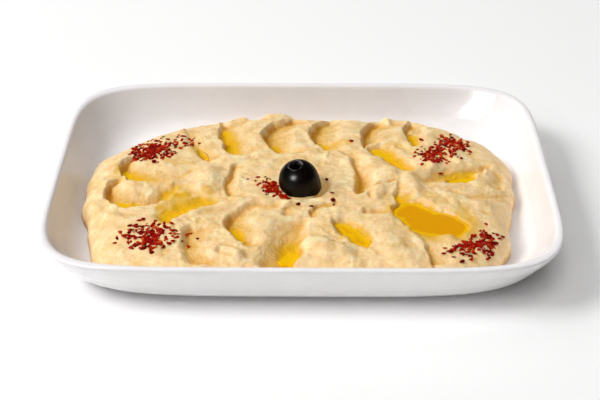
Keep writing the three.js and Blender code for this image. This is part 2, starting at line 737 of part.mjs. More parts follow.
function isFreeForFlake([x, y]) {
  const overOil = POOLS.some((pool) => isOverPool(pool, x, y));
  return howFarOut(x, y) < FLAKES_WITHIN && !besideOlive(x, y) && !overOil;
}

// An uneven chip with eight faces, lying on the surface.
function flakeSolid([x, y], random) {
  const geometry = new THREE.OctahedronGeometry(1);
  geometry.scale(
    between(FLAKE.length, random()) / 2,
    between(FLAKE.width, random()) / 2,
    between(FLAKE.thickness, random()) / 2,
  );
  geometry.rotateX(between([-FLAKE.tilt, FLAKE.tilt], random()));
  geometry.rotateZ(2 * Math.PI * random());
  geometry.translate(x, y, surfaceHeight(x, y) + FLAKE.above);
  return toSolid(geometry);
}

function hummusSolid() {
  const heap = toSolid(heapGeometry()).intersect(dishRoom()).subtract(oliveSocket());
  const random = randomFrom(FLAKE_SEED);
  const flakes = flakePlaces(random)
    .filter(isFreeForFlake)
    .map((place) => flakeSolid(place, random));
  return { heap, sprinkled: largestPiece(wasm.Manifold.union([heap, ...flakes])) };
}

// ------------------------------------------------------------------ assembly

const { heap, sprinkled } = hummusSolid();

const group = new THREE.Group();
group.add(meshOf('dish', dishGeometry(), COLOURS.porcelain, 0.2));
group.add(meshOf('hummus', toGeometry(sprinkled), COLOURS.hummus, 0.6));
group.add(oliveMesh());
for (const pool of POOLS) {
  group.add(oilMesh(pool, heap));
}

export default group;
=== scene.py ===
"""Hummus in a low rectangular dish, with a pitted black olive, chilli flakes and oil.

The shapes are worked out in millimetres, with X along the dish, Y away from the
viewer and Z up from the table, and are turned into metres where a mesh is made.
"""

import math

import bmesh
import bpy
import numpy as np
from mathutils import Matrix, Vector


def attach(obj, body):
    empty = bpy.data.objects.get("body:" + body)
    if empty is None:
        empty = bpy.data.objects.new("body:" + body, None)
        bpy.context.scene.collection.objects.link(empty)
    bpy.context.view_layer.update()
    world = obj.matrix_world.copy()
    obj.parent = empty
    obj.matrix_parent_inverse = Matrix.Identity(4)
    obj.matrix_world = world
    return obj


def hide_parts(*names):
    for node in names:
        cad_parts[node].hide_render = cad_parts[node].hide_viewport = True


MM = 0.001
BODY = "root"
# The largest whole numbers of 32 and 16 bits, which the random values are cut to.
FULL_WORD = 0xFFFFFFFF
HALF_WORD = 0xFFFF

# ---------------------------------------------------------------- dimensions

DISH_LENGTH = 240
DISH_WIDTH = 170
DISH_HEIGHT = 25
DISH_FLOOR = 5

# The dish in section, from under its middle, round the foot ring and over the
# lip to the floor inside: distance in from the widest outline, height, and
# squareness of the corners.
DISH_SECTION = [
    (60, 1.2, 3.6), (24, 1.2, 4.2), (23.2, 1.1, 4.2), (22.6, 0.3, 4.2), (22, 0.02, 4.2),
    (20, 0, 4.25), (18, 0, 4.3), (14.4, 0.55, 4.5), (11.2, 2.1, 4.7), (8.5, 4.6, 4.9),
    (6.8, 7.65, 5.1), (5.0, 11, 5.25), (3.6, 14, 5.4), (2.3, 17, 5.7), (1.2, 20, 6.0),
    (0.4, 22.4, 6.2), (0, 23.8, 6.3), (0.15, 24.5, 6.3), (0.7, 24.9, 6.3), (1.6, 25, 6.3),
    (2.5, 24.85, 6.25), (3.3, 24.2, 6.15), (3.8, 23.2, 6.1), (4.4, 21.6, 5.95),
    (5.2, 19.5, 5.8), (6.2, 17, 5.6), (7.4, 14.4, 5.4), (8.4, 12.3, 5.2), (9.4, 10.3, 5.0),
    (11.6, 7.4, 4.7), (14, 5.7, 4.4), (17, 5, 4.2), (24, 5, 4.1), (60, 5, 3.6),
]
# The row where the inside wall starts, and how far the heap may reach into it.
INNER_WALL_START = 20
WALL_BITE = 0.2
DISH_ROUND_STEPS = 240
DISH_SECTION_STEPS = 3
# How closely the points of an outline crowd at its four corners.
DISH_CORNER_CROWDING = 0.6

HEAP_CENTRE = (-0.5, -5.5)
HEAP_HALF = (104, 73.5)
HEAP_GAP = 0.3
HEAP_UNDERSIDE = DISH_FLOOR + HEAP_GAP
HEAP_UNDERCUT = 0.975
HEAP_EDGE = 1.5
HEAP_FILL = 12.4
HEAP_CROWN = 1.0
HEAP_SHARPNESS = 12
HEAP_EDGE_FADE = 0.05
HEAP_EDGE_CROWDING = 0.3
HEAP_CELLS = (188, 127)

# The heap is squarer in front than behind, and its edge bulges in waves:
# how many round the outline, how high, and turned how far.
SQUARE_MIDDLE = 3.28
SQUARE_FRONT = 1.32
SQUARE_DIAGONAL = 0.25
LOBES = [
    (2, 0.005, 1.2), (3, 0.024, 1.8), (4, 0.005, 1.5), (5, 0.007, 2.3), (6, 0.014, -0.3),
    (8, 0.006, 2.0), (13, 0.005, -1.0), (23, 0.005, 0.6),
]

OLIVE_AT = (-0.8, -9.5, 20.7)
OLIVE_RADIUS = 10.0
OLIVE_HALF_LENGTH = 12.5
OLIVE_FULLNESS = 0.84
OLIVE_LEAN_FORWARD = 8
OLIVE_LEAN_LEFT = 10
OLIVE_LIP_RADIUS = 3.8
OLIVE_PIT_RADIUS = 2.5
OLIVE_PIT_DEPTH = 9
OLIVE_ROUND_STEPS = 96
OLIVE_SIDE_STEPS = 52
OLIVE_FOOT_ANGLE = 0.02
# The cut lip, from its crest into the pit: radius, height over the end of the
# skin, and how torn it is.
OLIVE_LIP = [
    (3.62, 0.2, 0.1), (3.4, 0.22, 0.2), (3.15, 0.02, 0.45), (2.9, -0.4, 0.8),
    (2.75, -1.0, 1.0), (2.6, -1.8, 0.9), (OLIVE_PIT_RADIUS, -4, 0.5),
    (OLIVE_PIT_RADIUS, -OLIVE_PIT_DEPTH, 0.2),
]
# The tears in it, as waves: how many round it, how high, and turned how far.
LIP_TEARS = [(4, 0.14, 0.6), (7, 0.08, 2), (11, 0.05, 0)]
LIP_DIPS = (4, 0.15, 0.9)
# Ripples of the skin: how many round it, how high, and their turn for each mm of height.
SKIN_RIPPLES = (3, 0.05, 0.25)
# Where its pale flesh shows, brighter where glints on the lip are painted: how strong,
# in which direction, and how narrowly. It fades over this depth.
PALE_FLESH_AND_GLINTS = [(0.8, 0.7, 2), (0.4, 3.4, 4)]
PALE_EVERYWHERE = 0.2
PALE_DEPTH = 0.7


def swelling(start, end, half, lift, bend=0.0):
    """A soft ridge of the surface between two points."""
    return {"from": start, "to": end, "half": half, "lift": lift, "bend": bend}


def stroke(start, end, depth, steep, gentle, steep_side=-1, bend=0.0, lip=0.5,
           start_round=5, end_round=5, swell=0.5, start_depth=1.0, flat=False):
    """A spoon stroke, with a steep wall on one side (1 is its left) and a gentle one."""
    return {
        "from": start, "to": end, "depth": depth, "steep": steep, "gentle": gentle,
        "steep_side": steep_side, "bend": bend, "lip": lip, "start_round": start_round,
        "end_round": end_round, "swell": swell, "start_depth": start_depth, "flat": flat,
    }


# Where the surface swells, or sinks.
MOUNDS = [
    swelling((-46, 4), (-47, -12), 9, 2.0),
    swelling((27, 16), (41, 3), 11, 1.8),
    swelling((52, -12), (60, 8), 9, 2.2, bend=2),
    swelling((38, -14), (35, -22), 4.5, 1.6),
    swelling((6, -57), (18, -63), 8, 2.8),
    swelling((-38, -63), (-28, -65), 6, 2.6),
    swelling((9.5, -15.5), (11.5, -8), 5.5, -2.3),
    swelling((-7, -20), (4, -20.5), 6, -0.9),
    swelling((42, -56), (47, -65), 10, 2.0),
    swelling((72, 24), (80, 14), 9, 0.8),
    swelling((-76, 28), (-66, 22), 9, 0.6),
    swelling((70, -17), (90, -24), 6, 1.0),
    swelling((-74, 44), (-56, 52), 6, 1.2),
    swelling((-50, 55), (-32, 61), 6, 2.2),
    swelling((-17, 63), (-9, 65), 6, 3.8),
    swelling((12, 62), (24, 61), 5, -0.8),
    swelling((44, 60), (62, 57), 6, 2.2),
    swelling((-20, -34), (-14, -40), 9, 1.2),
]
# Thin crests that the spoon left standing.
RIDGES = [
    swelling((-64, -46.5), (-30, -23), 1.9, 0.9, bend=2.2),
    swelling((-30, -23), (-4, -24), 1.9, 1.1),
    swelling((-4, -24), (13, -18.5), 1.8, 0.7),
    swelling((-97, -2), (-64, -8), 2.6, 1.2, bend=-4),
    swelling((-99, -24), (-72, -38), 2.6, 0.9, bend=-5),
    swelling((33, -14.5), (47, -6), 1.6, 1.3, bend=1),
    swelling((-32, 19.5), (18, 19), 2.2, 0.6),
]
# In the order they were pressed. A flat one has an even floor and raises no lip.
STROKES = [
    stroke((-44, -24), (-60, -38.5), 2.6, 3, 17, 1, bend=-1.5, lip=0.3, start_round=7,
           end_round=7, swell=0.2),
    stroke((-60, 46), (-48, 16), 3, 3, 13, bend=-1.5, lip=0.3, start_depth=0.5),
    stroke((-41, 55), (-34.5, 21), 5.2, 3.4, 15, bend=-2, start_depth=0.7),
    stroke((-7, 57), (-13.5, 25), 6, 3.6, 16, bend=-7, start_depth=0.6),
    stroke((14, 56), (10.5, 26), 5.8, 3.6, 16, bend=-5.2, start_depth=0.6),
    stroke((39, 55), (33.5, 28), 5.2, 3.4, 15, bend=-3, start_depth=0.7),
    stroke((56.5, 54), (55.5, 32), 4.6, 3, 11, bend=-1.5, start_depth=0.7),
    stroke((37, 26), (56, 4), 3.6, 5, 9, bend=-1, lip=0.3, start_round=6, swell=0),
    stroke((-89, 13), (-67, -5), 5.6, 3.6, 15, bend=-7, start_round=3.4, end_round=9),
    stroke((-94, -9), (-72, -22), 5.6, 3.6, 15, bend=-8, start_round=3.4, end_round=9,
           swell=0.1),
    stroke((-33.5, 8), (-34.5, -17), 2.6, 1.8, 7, bend=-2, start_round=4, end_round=4,
           swell=0.2),
    stroke((23, 18), (28, -13), 6, 3, 9, bend=3, start_round=6, end_round=3,
           start_depth=0.4),
    stroke((31, -13.5), (48, -3.5), 1.8, 1.4, 3.5, 1, bend=1, lip=0.3, start_round=3,
           end_round=4),
    stroke((48, -5), (47, -19), 3, 2.4, 9, start_round=4, end_round=6, start_depth=0.5),
    stroke((33, -16), (33.5, -21), 1.6, 1.4, 4, lip=0.2, start_round=3, end_round=3),
    stroke((42, -31), (31, -30.5), 3, 2.6, 3.4, 1, lip=0.3, start_round=3, end_round=4),
    stroke((60, -1), (90, 10), 2.6, 6.5, 8, 1, bend=-1, lip=0.2, start_round=8,
           end_round=8),
    stroke((74, -1.5), (82, 1.5), 4.2, 4.6, 4.6, 1, flat=True),
    stroke((96, 7), (95, -5), 1.7, 4.5, 6, 1, bend=1, lip=0.2, swell=0.1),
    stroke((74, -15), (97, -11), 1.4, 2.6, 7, 1, bend=-1, lip=0.2, start_round=6),
    stroke((-50, -45), (-47, -68), 3, 5, 13, bend=-2, lip=0.3, start_round=4,
           end_round=6, swell=0.1),
    stroke((-20, -25), (-28.5, -51), 5.8, 3, 14, bend=-8, lip=0.4, start_round=4,
           end_round=6, swell=0.15, start_depth=0.25),
    stroke((-3, -25), (-10, -38), 1.7, 1.6, 8, bend=-1.5, lip=0.4, start_round=3,
           end_round=4),
    stroke((-1.5, -45), (-6.5, -69), 7, 6, 17, 1, bend=1, lip=0.2, start_round=10,
           end_round=7, swell=0, start_depth=0.45),
    stroke((19, -40), (29, -55), 4.8, 6, 8, bend=-1, start_round=7, end_round=7,
           swell=0.1),
    stroke((5, -33), (15, -24), 2, 1.6, 5, 1, bend=2, start_round=3, end_round=3),
    stroke((54, -47), (60, -68), 2.8, 3, 12, bend=1.5, start_depth=0.5),
    stroke((-36.5, -65), (-30.5, -66), 1.3, 1.3, 3.5, lip=0.3, start_round=2, end_round=2),
    stroke((52, -29.5), (62, -36), 4.4, 9.8, 9.8, 1, start_round=9.5, end_round=9, flat=True),
    stroke((65, -35), (70.5, -42), 4.4, 6.8, 6.8, 1, start_round=7, end_round=7, flat=True),
    stroke((49, -32), (59, -43), 4.4, 7.2, 7.2, 1, start_round=7.2, end_round=7, flat=True),
    stroke((60, -43), (70, -42), 4.4, 6.6, 6.6, 1, start_round=6.6, end_round=6.6, flat=True),
]

# The section of a stroke, with distances in shares of its half width.
STEEP_ROUND = 0.25
GENTLE_POWER = 1.7
FLOOR_POWER = 3
BOWL_EDGE = 0.8
BOWL_EDGE_WIDTH = 0.28
LIP_AT = 1.15
LIP_WIDTH = 0.22
LIP_ON_GENTLE = 0.4
LIP_AT_ENDS = 0.5
BEND_BEYOND_ENDS = 0.15
RIDGE_END_STRETCH = 2

# Noise lattices: size of a cell, height or shift or strength, seed.
UNEVEN = [(12, 0.55, 3), (5.5, 0.42, 4)]
CURDS = [(2.9, 0.28, 5), (1.5, 0.16, 6)]
WANDER = [(9, 1.3, 8), (4, 0.75, 18), (1.9, 0.3, 28)]
DRAG_LINES = (1.0, 0.14, 31)
STAIN_PATCHES = (3.5, 0.5, 41)
# The drag lines fade in over this share of a stroke.
DRAG_START = 1 / 6
# A stroke of this depth has smoothed this share of the curds away.
SMOOTHED_DEPTH = 5
SMOOTHED_SHARE = 0.6

# Oil stands in the strokes: node, middle, half sizes, turn, depth of oil.
POOLS = [
    ("oil_left_film", (-54, -30), (16, 9), 41, 1.1),
    ("oil_back_1", (-52, 22), (7, 3.5), -55, 1.2),
    ("oil_back_2", (-37, 34), (14, 5), -80, 1.5),
    ("oil_back_3", (-15, 28), (6, 5), -80, 1.5),
    ("oil_back_4", (9.5, 29), (5.5, 5), -80, 1.4),
    ("oil_back_5", (56, 37), (6.5, 4.5), -85, 1.4),
    ("oil_right_tongue", (47, 15), (16, 6.5), -48, 1.6),
    ("oil_left_1", (-78, -1), (14, 6), -32, 1.8),
    ("oil_left_2", (-83, -23), (9, 5), 0, 1.7),
    ("oil_pool", (61, -34), (23, 17), -38, 2.9),
    ("oil_right", (78, 1), (11, 6), 25, 1.6),
    ("oil_front_1", (-30.5, -47), (7, 4.5), -75, 1.8),
    ("oil_front_2", (-3, -61), (10, 7.5), -75, 2.2),
    ("oil_front_3", (24.5, -48.5), (12, 7), -57, 2.3),
]
# The depth of a point times the depth of its pool, where the oil is at its darkest.
OIL_RICHNESS = 6.6
POOL_CELL = 0.5
# A pool's floor is the height that this share of the ground in its outline lies below.
POOL_LOWEST_SHARE = 0.02
# The sheet's cells reach this far past the pool's longer half size.
POOL_MARGIN = 1
# It runs on past the outline, which is 1, and up the hummus, and bites into it.
POOL_OUTLINE = 1.12
POOL_RUN_UP = 0.35
POOL_BITE = 0.45
# It creeps up the hummus where it is no deeper than about this.
POOL_CLIMB = 0.22
POOL_CLIMB_DEPTH = 0.35
# Hummus soaks up oil round a pool: how high, out to where, and how softly.
SOAK_RISE = 1.6
SOAK_OUTLINE = 1.2
SOAK_FADE = 0.35
STAIN_OUTLINE = 1.25
STAIN_FADE = 0.6
STAIN_BASE = 0.75
# A hollow's depth is measured from the bare heap, and a crevice's from the mean of
# the surface round it. These depths count as full.
# In the hummus's colour both depths bring a golden brown that is partly oil soaked in and partly
# painted shade.
DEEP_HOLLOW = 5.5
DEEP_CREVICE = 1.3
CREVICE_SPREAD = 2.0
CREVICE_CELL = 0.5
# Where oil has only wetted the surface, and two patches of painted shade: middle, half sizes, turn,
# strength.
STAINS_AND_SHADE = [
    ((-60, -17), (8, 9), 30, 1.0),
    ((-64, -28), (5, 7), -20, 0.9),
    ((-46, -17), (7, 4), 35, 0.5),
    ((20, 31), (6, 3), 10, 0.6),
    # Painted shade down the steep wall of the groove right of the plateau.
    ((27.3, -5), (2, 8), 3, 0.9),
    ((-90, 7), (2.5, 5), -20, 0.6),
    # Painted shade in the fold beside the third front pool.
    ((20, -52), (3.5, 2), 30, 0.6),
    ((-46, -40), (3, 3), 0, 0.6),
    ((-62, 12), (9, 3), -15, 0.4),
    ((50, 27), (9, 5), -30, 0.4),
    ((-80, -3), (14, 4), -25, 0.5),
    ((70, 2), (6, 4), 10, 0.7),
    ((44, -28), (5, 3), 0, 0.8),
]

# Clusters of chilli flakes: middle, spread, turn, how many large and small. The
# last six add small ones alone.
FLAKE_CLUSTERS = [
    ((-74, 23.5), (9, 7.5), 5, 48, 200),
    ((-68, 30), (13, 10), 10, 12, 56),
    ((78, 33), (7, 5), -30, 26, 90),
    ((67, 20), (11, 6.5), 40, 28, 104),
    ((71, 24), (14, 10), 50, 8, 36),
    ((-68, -52.5), (7.5, 6.5), 60, 32, 110),
    ((-77, -50), (6, 5), 0, 10, 34),
    ((-62, -48), (12, 7), -15, 8, 34),
    ((80, -55), (12, 4.5), 35, 28, 84),
    ((88, -61), (4.5, 8), 0, 13, 40),
    ((78, -56), (12, 8), 20, 6, 24),
    ((-11.2, -14), (5.4, 3.2), -50, 30, 110),
    ((-17, -8), (6, 6), 0, 3, 12),
    ((-8.5, -18.2), (2.6, 1.8), -30, 12, 40),
    ((65, 12), (5, 3), 10, 0, 24),
    ((-77, 18), (7, 4), 0, 0, 60),
    ((-69, -58), (8, 4), 0, 0, 20),
    ((-14.5, -13), (4, 3), -40, 0, 150),
    ((85, -48), (4, 4), 60, 0, 40),
    ((86.5, -63), (3.5, 5), 0, 0, 46),
]
LONE_FLAKES = [
    (25, 32.5), (14.5, -17.5), (15, -23), (15.5, -24.5), (5, -27), (-1.5, -25), (12, -4.5),
    (68, 4), (86, -39), (65, -49.5), (63, -45), (-57, 31), (-21, -3), (85, 6), (-51.5, -55),
]
FLAKE_LENGTH = (2.4, 4.0)
FLAKE_WIDTH = (1.7, 2.7)
FLAKE_THICKNESS = (1.0, 1.5)
FLAKE_TILT = 0.5
FLAKE_CLEAR_OF_OLIVE = 3
FLAKE_LIFT = 0.12
# How far out on the heap flakes may lie.
FLAKES_WITHIN = 0.96
FLAKE_SEED = 11
# The small ones. Their width is a share of their length, and their spread a share
# of the cluster's.
CRUMB_LENGTH = (1.3, 3.1)
CRUMB_WIDTH = (0.55, 0.9)
CRUMB_THICKNESS = (0.5, 1.1)
CRUMB_TILT = 0.9
CRUMB_SPREAD = (0.45, 1.15)
CRUMB_CLEAR_OF_OLIVE = 1.2
CRUMB_SMALLNESS = 1.2
# A cluster thins out like a bell, cut off where this share of it is inside.
CLUSTER_SPREAD = 1.2
CLUSTER_SHARE = 0.9
# Unit chips, and how uneven they are.
CHIP_KINDS = 4
CHIP_CORNERS = 7
CHIP_REACH = (0.72, 1.1)
CHIP_TURN = 0.5
CHIP_WAVE = 0.18
CHIP_OFF_CENTRE = 0.1
CHIP_SEED = 70
PICK_SEED = 5

TABLE_HALF = 3000
# Soft lights: name, place and width in metres, power, and the rays they are hidden from.
LIGHTS = [
    ("window", (-2.2, -0.1, 2.0), 1.3, 65, "glossy"),
    ("back_window", (-1.1, 1.8, 2.1), 1.3, 14, "glossy"),
    ("overhead", (0.0, -0.7, 2.9), 1.8, 35, "glossy"),
    ("front_box", (-1.45, -2.2, 1.6), 0.5, 5.5, None),
    ("sheen_box", (-1.6, -2.0, 1.75), 1.2, 150, "diffuse"),
]
ROOM_COLOUR = (1, 0.93, 0.86, 1)
ROOM_STRENGTH = 0.06

VIEWER_AT = (3.8, -535.7, 362.1)
VIEWER_AHEAD = (-0.00724, 0.8322, -0.55443)
VIEWER_UP = (-0.004, 0.55442, 0.83223)
LENS = 78
SENSOR_WIDTH = 36
NEAREST_SEEN = 0.01


# ------------------------------------------------------------- small helpers

def smooth_step(t):
    """Rises from 0 to 1 with level ends."""
    t = np.clip(t, 0, 1)
    return t * t * (3 - 2 * t)


def bell(d):
    """Falls from 1 to 0 with level ends."""
    return 0.5 * (1 + np.cos(np.pi * np.clip(d, 0, 1)))


def mix(a, b, t):
    return a + (b - a) * t


def random_from(seed):
    """A repeatable random sequence from 0 to 1. The large numbers only stir the bits."""
    state = seed
    while True:
        state = (state + 0x6D2B79F5) & FULL_WORD
        t = ((state ^ (state >> 15)) * (1 | state)) & FULL_WORD
        t = ((t + (((t ^ (t >> 7)) * (61 | t)) & FULL_WORD)) & FULL_WORD) ^ t
        yield ((t ^ (t >> 14)) & FULL_WORD) / (FULL_WORD + 1)


def corner_value(i, j, seed):
    """A fixed random value from -1 to 1 at each corner of a square lattice."""
    h = (i.astype(np.int64) * 374761393 + j.astype(np.int64) * 668265263
         + seed * 974634777) & FULL_WORD
    h = ((h ^ (h >> 13)) * 1274126177) & FULL_WORD
    return ((h ^ (h >> 16)) & HALF_WORD) / HALF_WORD * 2 - 1


def noise(x, y, cell, seed):
    """A smooth random height from -1 to 1 between the corners of a lattice."""
    i, j = np.floor(x / cell), np.floor(y / cell)
    u, v = x / cell - i, y / cell - j
    u = u * u * u * (u * (u * 6 - 15) + 10)
    v = v * v * v * (v * (v * 6 - 15) + 10)
    front = mix(corner_value(i, j, seed), corner_value(i + 1, j, seed), u)
    back = mix(corner_value(i, j + 1, seed), corner_value(i + 1, j + 1, seed), u)
    return mix(front, back, v)


def square_reach(angle, squareness):
    """Distance from the centre to a rounded rectangle of unit half sizes."""
    c = np.abs(np.cos(angle)) ** squareness
    s = np.abs(np.sin(angle)) ** squareness
    return (c + s) ** (-1 / squareness)


def put_in_scene(name, data):
    """A new object that holds a mesh, lamp or camera."""
    holder = bpy.data.objects.new(name, data)
    bpy.context.scene.collection.objects.link(holder)
    return holder


def mesh_object(name, points, faces):
    """A new mesh object from points in millimetres."""
    mesh = bpy.data.meshes.new(name)
    mesh.from_pydata((np.asarray(points, float) * MM).tolist(), [], faces)
    mesh.update()
    mesh.shade_smooth()
    return put_in_scene(name, mesh)


def skin_of_rings(rings, first_centre, last_centre):
    """Points and faces of a closed skin over a stack of rings, fanned in at both ends."""
    n = len(rings[0])
    last = (len(rings) - 1) * n
    points = np.vstack([*rings, [first_centre], [last_centre]])
    faces = []
    for k in range(len(rings) - 1):
        for i in range(n):
            j = (i + 1) % n
            faces.append((k * n + i, k * n + j, (k + 1) * n + j, (k + 1) * n + i))
    for i in range(n):
        j = (i + 1) % n
        faces.append((len(points) - 2, j, i))
        faces.append((len(points) - 1, last + i, last + j))
    return points, faces


def store(piece, name, values, kind="FLOAT", field="value"):
    """Keeps a number or a vector for each point of a mesh, for its nodes to read."""
    attribute = piece.data.attributes.new(name, kind, "POINT")
    attribute.data.foreach_set(field, np.asarray(values, np.float32).ravel())


def hand_in(piece, material, slot, *nodes):
    """The finished piece rides on the body and stands for its nodes."""
    piece.data.materials.clear()
    piece.data.materials.append(material)
    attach(piece, BODY)
    if nodes:
        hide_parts(*nodes)


# ---------------------------------------------------------------------- dish

def spline(points, steps):
    """A smooth curve through the points, with that many steps between two of them."""
    p = np.array(points, float)
    p = np.vstack([2 * p[0] - p[1], p, 2 * p[-1] - p[-2]])
    out = []
    for k in range(1, len(p) - 2):
        a, b, c, d = p[k - 1], p[k], p[k + 1], p[k + 2]
        chord = np.linalg.norm(c[:2] - b[:2])
        before = np.linalg.norm(b[:2] - a[:2])
        after = np.linalg.norm(d[:2] - c[:2])
        slope_b = ((b - a) / before + (c - b) / chord) / 2 * chord
        slope_c = ((c - b) / chord + (d - c) / after) / 2 * chord
        for t in np.arange(steps) / steps:
            out.append(
                (2 * t**3 - 3 * t**2 + 1) * b + (t**3 - 2 * t**2 + t) * slope_b
                + (3 * t**2 - 2 * t**3) * c + (t**3 - t**2) * slope_c)
    out.append(p[-2])
    return np.array(out)


def dish_ring(inset, z, squareness):
    """The dish's outline at one height, with its points crowded at the four corners."""
    even = np.linspace(0, 2 * np.pi, DISH_ROUND_STEPS, endpoint=False)
    angle = even + DISH_CORNER_CROWDING * np.sin(4 * even) / 4
    reach = square_reach(angle, squareness)
    return np.stack([
        (DISH_LENGTH / 2 - inset) * np.cos(angle) * reach,
        (DISH_WIDTH / 2 - inset) * np.sin(angle) * reach,
        np.full_like(angle, z),
    ], -1)


def dish_piece():
    section = spline(DISH_SECTION, DISH_SECTION_STEPS)
    section[:, 0] = np.maximum(section[:, 0], 0)
    section[:, 1] = np.clip(section[:, 1], 0, DISH_HEIGHT)
    rings = [dish_ring(*s) for s in section]
    underside, floor = section[0][1], section[-1][1]
    return mesh_object("dish_glazed", *skin_of_rings(rings, (0, 0, underside), (0, 0, floor)))


# -------------------------------------------------------------------- hummus

def heap_reach(angle):
    """Distance from the centre to the heap's outline, in shares of its half sizes."""
    squareness = (SQUARE_MIDDLE - SQUARE_FRONT * np.sin(angle)
                  + SQUARE_DIAGONAL * np.sin(2 * angle))
    reach = square_reach(angle, squareness)
    for waves, height, turn in LOBES:
        reach = reach + height * np.cos(waves * angle - turn)
    return reach


def how_far_out(x, y):
    """0 at the middle of the heap, 1 at its edge."""
    u = (x - HEAP_CENTRE[0]) / HEAP_HALF[0]
    v = (y - HEAP_CENTRE[1]) / HEAP_HALF[1]
    return np.hypot(u, v) / heap_reach(np.arctan2(v, u))


def heap_height(out):
    """Height of the bare heap, before mounds and strokes."""
    r = np.clip(out, 0, 1)
    return (HEAP_UNDERSIDE + HEAP_EDGE + HEAP_CROWN * (1 - r * r)
            + HEAP_FILL * np.sqrt(1 - r**HEAP_SHARPNESS))


def beside_path(path, x, y):
    """Where points lie beside a path: along it from 0 to 1, to its left, and past its ends."""
    (ax, ay), (bx, by) = path["from"], path["to"]
    length = math.hypot(bx - ax, by - ay)
    dx, dy = (bx - ax) / length, (by - ay) / length
    t = ((x - ax) * dx + (y - ay) * dy) / length
    on_bend = np.clip(t, -BEND_BEYOND_ENDS, 1 + BEND_BEYOND_ENDS)
    bulge = path["bend"] * 4 * on_bend * (1 - on_bend)
    side = (y - ay) * dx - (x - ax) * dy - bulge
    over = np.maximum(np.maximum(-t, t - 1), 0) * length
    return t, side, over, length


def press_stroke(height, top, s, x, y):
    """The surface after one more stroke, whose depth is taken from the mounds' top."""
    t, side, over, length = beside_path(s, x, y)
    on_steep = side * s["steep_side"] > 0
    across = np.abs(side) / np.where(on_steep, s["steep"], s["gentle"])
    past = over / np.where(t < 0, s["start_round"], s["end_round"])
    d = np.hypot(across, past)
    inner = np.clip(d, 0, 1)
    depth = s["depth"] * mix(s["start_depth"], 1, np.clip(t, 0, 1))
    if s["flat"]:
        return np.minimum(height, top - depth * (1 - inner**FLOOR_POWER))
    steep_bowl = mix(bell(inner), 1 - inner * inner, STEEP_ROUND)
    gentle_bowl = mix(bell(inner), (1 - inner) ** GENTLE_POWER, s["swell"])
    bowl = np.where(on_steep, steep_bowl, gentle_bowl)
    inside = 1 - smooth_step((d - BOWL_EDGE) / BOWL_EDGE_WIDTH)
    lip = (s["lip"] * np.exp(-(((d - LIP_AT) / LIP_WIDTH) ** 2))
           * np.where(on_steep, 1, LIP_ON_GENTLE) * (1 - LIP_AT_ENDS * np.clip(past, 0, 1)))
    cell, lift, seed = DRAG_LINES
    drag = lift * inside * noise(side, t * length, cell, seed) * np.clip(t / DRAG_START, 0, 1)
    return mix(height, top - depth * bowl, inside) + lip + drag


def surface_height(x, y):
    """Height of the surface over a point of the dish."""
    out = how_far_out(x, y)
    bare = heap_height(out)
    px, py = x, y
    for cell, shift, seed in WANDER:
        px = px + shift * noise(x, y, cell, seed)
        py = py + shift * noise(x, y, cell, seed + 1)
    top = bare
    for mound in MOUNDS:
        _, side, over, _ = beside_path(mound, px, py)
        top = top + mound["lift"] * bell(np.hypot(side, over) / mound["half"])
    height = top
    for s in STROKES:
        height = press_stroke(height, top, s, px, py)
    for ridge in RIDGES:
        _, side, over, _ = beside_path(ridge, px, py)
        away = np.hypot(side, over / RIDGE_END_STRETCH)
        crest = np.exp(-((away / ridge["half"]) ** 2))
        height = height + ridge["lift"] * crest
    smoothed = SMOOTHED_SHARE * np.clip((top - height) / SMOOTHED_DEPTH, 0, 1)
    for cell, lift, seed in UNEVEN:
        height = height + lift * noise(x, y, cell, seed)
    for cell, lift, seed in CURDS:
        height = height + lift * noise(px, py, cell, seed) * (1 - smoothed)
    fade = smooth_step((1 - out) / HEAP_EDGE_FADE)
    return mix(bare, height, fade)


def heap_grid(nx, ny, scale=1.0):
    """A square grid of cells pushed out to the heap's outline, finer near the edge."""
    i, j = np.meshgrid(np.arange(-nx, nx + 1), np.arange(-ny, ny + 1), indexing="ij")
    u, v = i / nx, j / ny
    ring = np.maximum(np.abs(u), np.abs(v))
    sideways = np.abs(u) >= np.abs(v)
    safe_u = np.where(u == 0, 1, u)
    safe_v = np.where(v == 0, 1, v)
    turn = np.pi / 4 * np.where(sideways, v / safe_u, 2 - u / safe_v)
    sign = np.where(sideways, np.sign(u), np.sign(v))
    far = scale * ring * (1 + HEAP_EDGE_CROWDING - HEAP_EDGE_CROWDING * ring) * sign
    reach = heap_reach(np.arctan2(np.sin(turn) * sign, np.cos(turn) * sign))
    x = HEAP_CENTRE[0] + HEAP_HALF[0] * far * np.cos(turn) * reach
    y = HEAP_CENTRE[1] + HEAP_HALF[1] * far * np.sin(turn) * reach
    return x, y


def keep_in_dish(points):
    """Points outside the dish's inside wall are drawn in until they just bite into it."""
    inside = sorted((z, inset, square) for inset, z, square in DISH_SECTION[INNER_WALL_START:])
    levels, insets, squares = np.array(inside).T
    x, y, z = points.T
    inset = np.interp(z, levels, insets) - WALL_BITE
    square = np.interp(z, levels, squares)
    u = np.abs(x) / (DISH_LENGTH / 2 - inset)
    v = np.abs(y) / (DISH_WIDTH / 2 - inset)
    far = np.maximum((u**square + v**square) ** (1 / square), 1)
    return np.stack([x / far, y / far, z], -1)


def rim_of_grid(nx, ny):
    """The grid's border cells in order, anticlockwise."""
    return ([(i, -ny) for i in range(-nx, nx)] + [(nx, j) for j in range(-ny, ny)]
            + [(i, ny) for i in range(nx, -nx, -1)] + [(-nx, j) for j in range(ny, -ny, -1)])


